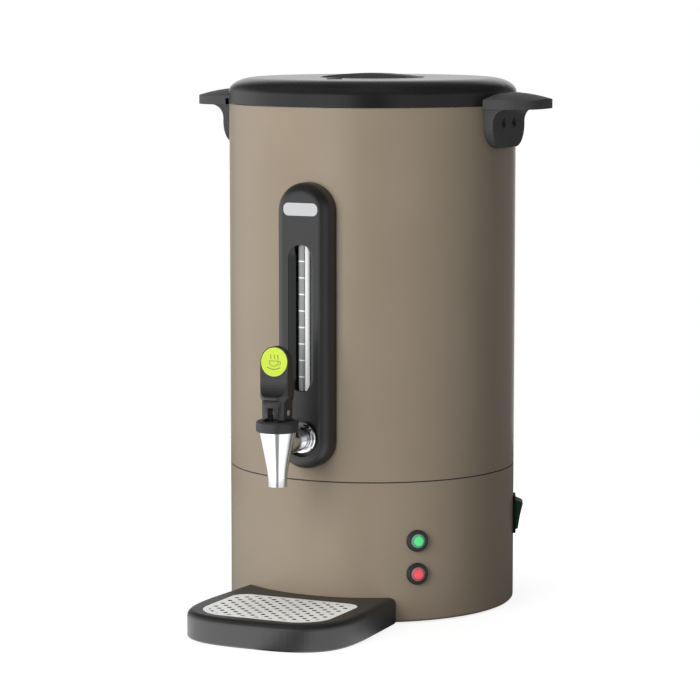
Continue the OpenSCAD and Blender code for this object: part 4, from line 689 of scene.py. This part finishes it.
# Screen ink, printed thick: a dull olive that covers the film.
olive_ink = new_material("screen_ink_olive", IOR=1.5)
add_surface(olive_ink, ("#626b22", "#59611f"), (0.35, 0.45), grain_mm=0.6, depth_mm=0.004)
add_piece("lever_sign", [ribbon(*stroke) for stroke in strokes], olive_ink, "lever")
print("sign strokes", len(strokes))

# %% [markdown]
# ## Screws in the handles
# The plain screw heads of the frame get the cross recess that a driver needs. The cross is star-shaped about
# its middle, so a ring of points can follow it, and the whole head is one skin from rim to recess.

# %% Cross-recessed screws
HEAD_R, HEAD_FACE, HEAD_H, SHANK_R, SHANK_TIP = 4.0, 122.9, 2, 2.0, 114.2
RIM_IN, RIM_LOW, RIM_HIGH, FACE_IN = 0.2, 0.2, 0.12, 0.45
CROSS_ARM, CROSS_HALF, CROSS_DEPTH, CROSS_TAPER = 2.3, 0.62, 1.3, 0.75
CORNER_SPAN, ARM_STEPS, NOT_ZERO = 0.36, 6, 1e-9
SCREW_Y, SCREW_Z, SCREW_TURN_DEG = 11.0, 404.95, 25


def cross_radius(a):
    """Distance from the middle of the cross to its outline in the direction a."""
    c, s = max(abs(math.cos(a)), NOT_ZERO), max(abs(math.sin(a)), NOT_ZERO)
    return max(min(CROSS_ARM / c, CROSS_HALF / s), min(CROSS_HALF / c, CROSS_ARM / s))


def screw_rings(place):
    """Rings of one screw, from its tip over the head's rim to the bottom of the recess."""
    corner, between = math.atan2(CROSS_HALF, CROSS_ARM), math.pi / 4
    quarter = spread(-corner, corner, ARM_STEPS)
    quarter += spread(between - CORNER_SPAN, between + CORNER_SPAN, ARM_STEPS)
    angles = sorted({round(q * math.pi / 2 + a, 6) for q in range(4) for a in quarter})
    profile = [(SHANK_R, SHANK_TIP), (SHANK_R, HEAD_FACE - HEAD_H), (HEAD_R - RIM_IN, HEAD_FACE - RIM_LOW),
               (HEAD_R - RIM_IN, HEAD_FACE - RIM_HIGH), (HEAD_R - FACE_IN, HEAD_FACE)]
    levels = [([r] * len(angles), h) for r, h in profile]
    for share, h in ((1, HEAD_FACE), (CROSS_TAPER, HEAD_FACE - CROSS_DEPTH)):
        levels.append(([share * cross_radius(a) for a in angles], h))
    return [[place @ Vector((r * math.cos(a), r * math.sin(a), h)) for r, a in zip(radii, angles)]
            for radii, h in levels]


screws = []
for turn in (0, math.pi):
    for y in (-SCREW_Y, SCREW_Y):
        # The two screws of a handle stopped turning at different angles
        stopped = math.radians(SCREW_TURN_DEG + y)
        place = (Matrix.Rotation(turn, 4, "Z") @ Matrix.Translation((0, y, SCREW_Z))
                 @ Matrix.Rotation(math.pi / 2, 4, "Y") @ Matrix.Rotation(stopped, 4, "Z"))
        screws.append(screw_rings(place))
# Black zinc plating on steel: a dark grey metal that still glints.
black_zinc = new_material("steel_black_zinc_plated", Metallic=1)
add_surface(black_zinc, ("#3a3a3c", "#303033"), (0.3, 0.42), grain_mm=0.6, depth_mm=0.008)
add_piece("cross_screws", screws, black_zinc, "urn", ("handle_screws",), crease_deg=25)
print("screws with a cross recess", len(screws))

# %% [markdown]
# ## Thread on the tap's neck
# The neck is threaded where the nut runs. A turned groove would close on itself, so the ridge climbs by one
# pitch for each turn, as a real thread does, and fades out at both ends.

# %% Neck thread
NECK_Z, NECK_R, THREAD_H, PITCH = 154, 9.5, 0.45, 1.3
THREAD_START, THREAD_END, FADE_PARTS = 142.1, 156.5, 4
NECK_SIDES, STEPS_PER_PITCH = 72, 8
neck = wall(0, NECK_Z)
steps = int((THREAD_END - THREAD_START) / PITCH * STEPS_PER_PITCH)
rings = []
for i, depth in enumerate(spread(THREAD_START, THREAD_END, steps)):
    height = THREAD_H * min(1, FADE_PARTS * min(i, steps - i) / steps)
    ring = []
    for j, a in enumerate(turns(NECK_SIDES)):
        phase = (depth / PITCH - j / NECK_SIDES) % 1
        r = NECK_R + height * (1 - abs(2 * phase - 1))
        ring.append(neck @ Vector((r * math.cos(a), r * math.sin(a), depth)))
    rings.append(ring)
add_piece("neck_thread", [rings], chrome, "urn", crease_deg=60)
print("thread turns", round((THREAD_END - THREAD_START) / PITCH, 1))

# %% [markdown]
# ## Lamp lenses
# A pilot lamp's lens has a raised middle with a ring of fine ribs round it. The small lamp sits behind the
# middle, so that glows. The ribbed ring has no glow and a duller tone, which is partly its own and partly
# painted shade from the bezel.

# %% Lamp lenses
LENS_R, LENS_FOOT, LENS_TOP = 5.9, 110.0, 125.9
LENS_AZIMUTH, RIBS, SIDES_PER_RIB, RIB_MM = 42.7, 36, 4, 0.16
# Each ring's inset from the rim, its distance from the urn's axis, and the height of its ribs
LENS_PROFILE = [(0, LENS_FOOT, 0), (0, 123.7, 0), (0.35, 124.6, 0), (0.9, 124.9, RIB_MM),
                (1.5, 124.8, RIB_MM), (1.7, 125.0, 0), (1.9, 125.6, 0), (2.4, 125.85, 0), (4.2, 125.89, 0)]
MIDDLE_R, RING_R = 3.6, 4.5
# Ring tones: duller green and red with painted shade from the bezel in them
LAMPS = {"green": (68.3, green_lens, "#74a88b"), "red": (41.0, red_lens, "#b27579")}


def dim_ring(material, middle, tone):
    """Gives the lens this duller tone, partly painted shade, without a glow, outside its middle."""
    tree = material.node_tree
    glow = tree.nodes["Principled BSDF"].inputs["Emission Strength"]
    place = add_node(tree, "ShaderNodeTexCoord").outputs["Object"]
    away = add_node(tree, "ShaderNodeVectorMath", {0: place, 1: middle}, operation="DISTANCE")
    share = add_node(tree, "ShaderNodeMapRange",
                     {"Value": away.outputs["Value"], "From Min": MIDDLE_R * MM, "From Max": RING_R * MM,
                      "To Min": 1, "To Max": 0}).outputs["Result"]
    retone(material, share, tone)
    dimmed = add_node(tree, "ShaderNodeMath", {0: share, 1: glow.default_value}, operation="MULTIPLY")
    tree.links.new(dimmed.outputs["Value"], glow)


for colour, (z, material, tone) in LAMPS.items():
    place = wall(LENS_AZIMUTH, z)
    rings = []
    for inset, h, rib in LENS_PROFILE:
        r = LENS_R - inset
        rings.append([place @ Vector((r * math.cos(a), r * math.sin(a), h + rib * math.cos(RIBS * a)))
                      for a in turns(RIBS * SIDES_PER_RIB)])
    dim_ring(material, MM * (place @ Vector((0, 0, LENS_TOP))), tone)
    add_piece(colour + "_lens", [rings], material, "urn", (colour + "_lamp_lens",))
print("lenses", sorted(LAMPS))

# %% [markdown]
# ## Valve spring
# The spring inside the tap is squeezed when the lever lifts the stem. A stiff spring would be cut by the
# rising collar; here the coil is built at rest, on a mesh of its own. Its end turns lie close, as they do on
# a spring with closed ends.

# %% Valve spring
COIL_R, WIRE_R, COIL_TURNS, END_PITCH = 5.2, 0.5, 6, 1.05
COIL_BOTTOM, COIL_TOP = 151.87, 169.53
STEPS_PER_TURN, WIRE_SIDES = 24, 8


def coil_height(turn):
    """Height of the wire's middle after this many turns."""
    pitch = (COIL_TOP - COIL_BOTTOM - 2 * END_PITCH) / (COIL_TURNS - 2)
    low, high = min(turn, 1), max(turn - COIL_TURNS + 1, 0)
    return COIL_BOTTOM + END_PITCH * (low + high) + pitch * (turn - low - high)


up = Vector((0, 0, 1))
rings = []
for turn in spread(0, COIL_TURNS, COIL_TURNS * STEPS_PER_TURN):
    out = Vector((math.cos(2 * math.pi * turn), math.sin(2 * math.pi * turn), 0))
    middle = Vector((0, TAP_Y, coil_height(turn))) + COIL_R * out
    rings.append([middle + WIRE_R * (math.cos(a) * out + math.sin(a) * up) for a in turns(WIRE_SIDES)])
coil = add_piece("valve_coil", [rings], brushed_steel, "urn", ("valve_spring",), crease_deg=60)
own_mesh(coil)

# %% [markdown]
# ## Arrow on the lid
# A small raised arrow in front of the grip shows which way the lid turns to come off. It could be printed,
# but a moulded mark lasts and can be felt, so it is a low solid.

# %% Lid arrow
LID_TOP, ARROW_H = 441.0, 0.6
ARROW_X, ARROW_Y, ARROW_TURN_DEG = -3, -68, 25
TAIL_U, NECK_U, TIP_U, SHAFT_HALF, BARB_HALF = -6, 2, 6.5, 1, 2.6
arrow_place = (Matrix.Translation((ARROW_X, ARROW_Y, LID_TOP))
               @ Matrix.Rotation(math.radians(ARROW_TURN_DEG), 4, "Z"))
arrow = [(TAIL_U, -SHAFT_HALF), (NECK_U, -SHAFT_HALF), (NECK_U, -BARB_HALF), (TIP_U, 0),
         (NECK_U, BARB_HALF), (NECK_U, SHAFT_HALF), (TAIL_U, SHAFT_HALF)]
rings = [[arrow_place @ Vector((u, v, h)) for u, v in arrow] for h in (-SUNK_MM, ARROW_H)]
# The mark's tool was left rough, so it stays matt on the smoother lid.
matt_mark = new_material("ABS_moulded_black_matt_mark", IOR=1.53)
add_surface(matt_mark, ("#1b1b1b", "#202020"), (0.6, 0.7), grain_mm=0.5, depth_mm=0.01)
add_piece("lid_arrow", [rings], matt_mark, "lid")
print("arrow on the lid, mm high", ARROW_H)

# %% [markdown]
# ## Finish
# The picture is shown with the plain Standard view, so a colour looks as it was written.

# %% View
scene.view_settings.view_transform = "Standard"
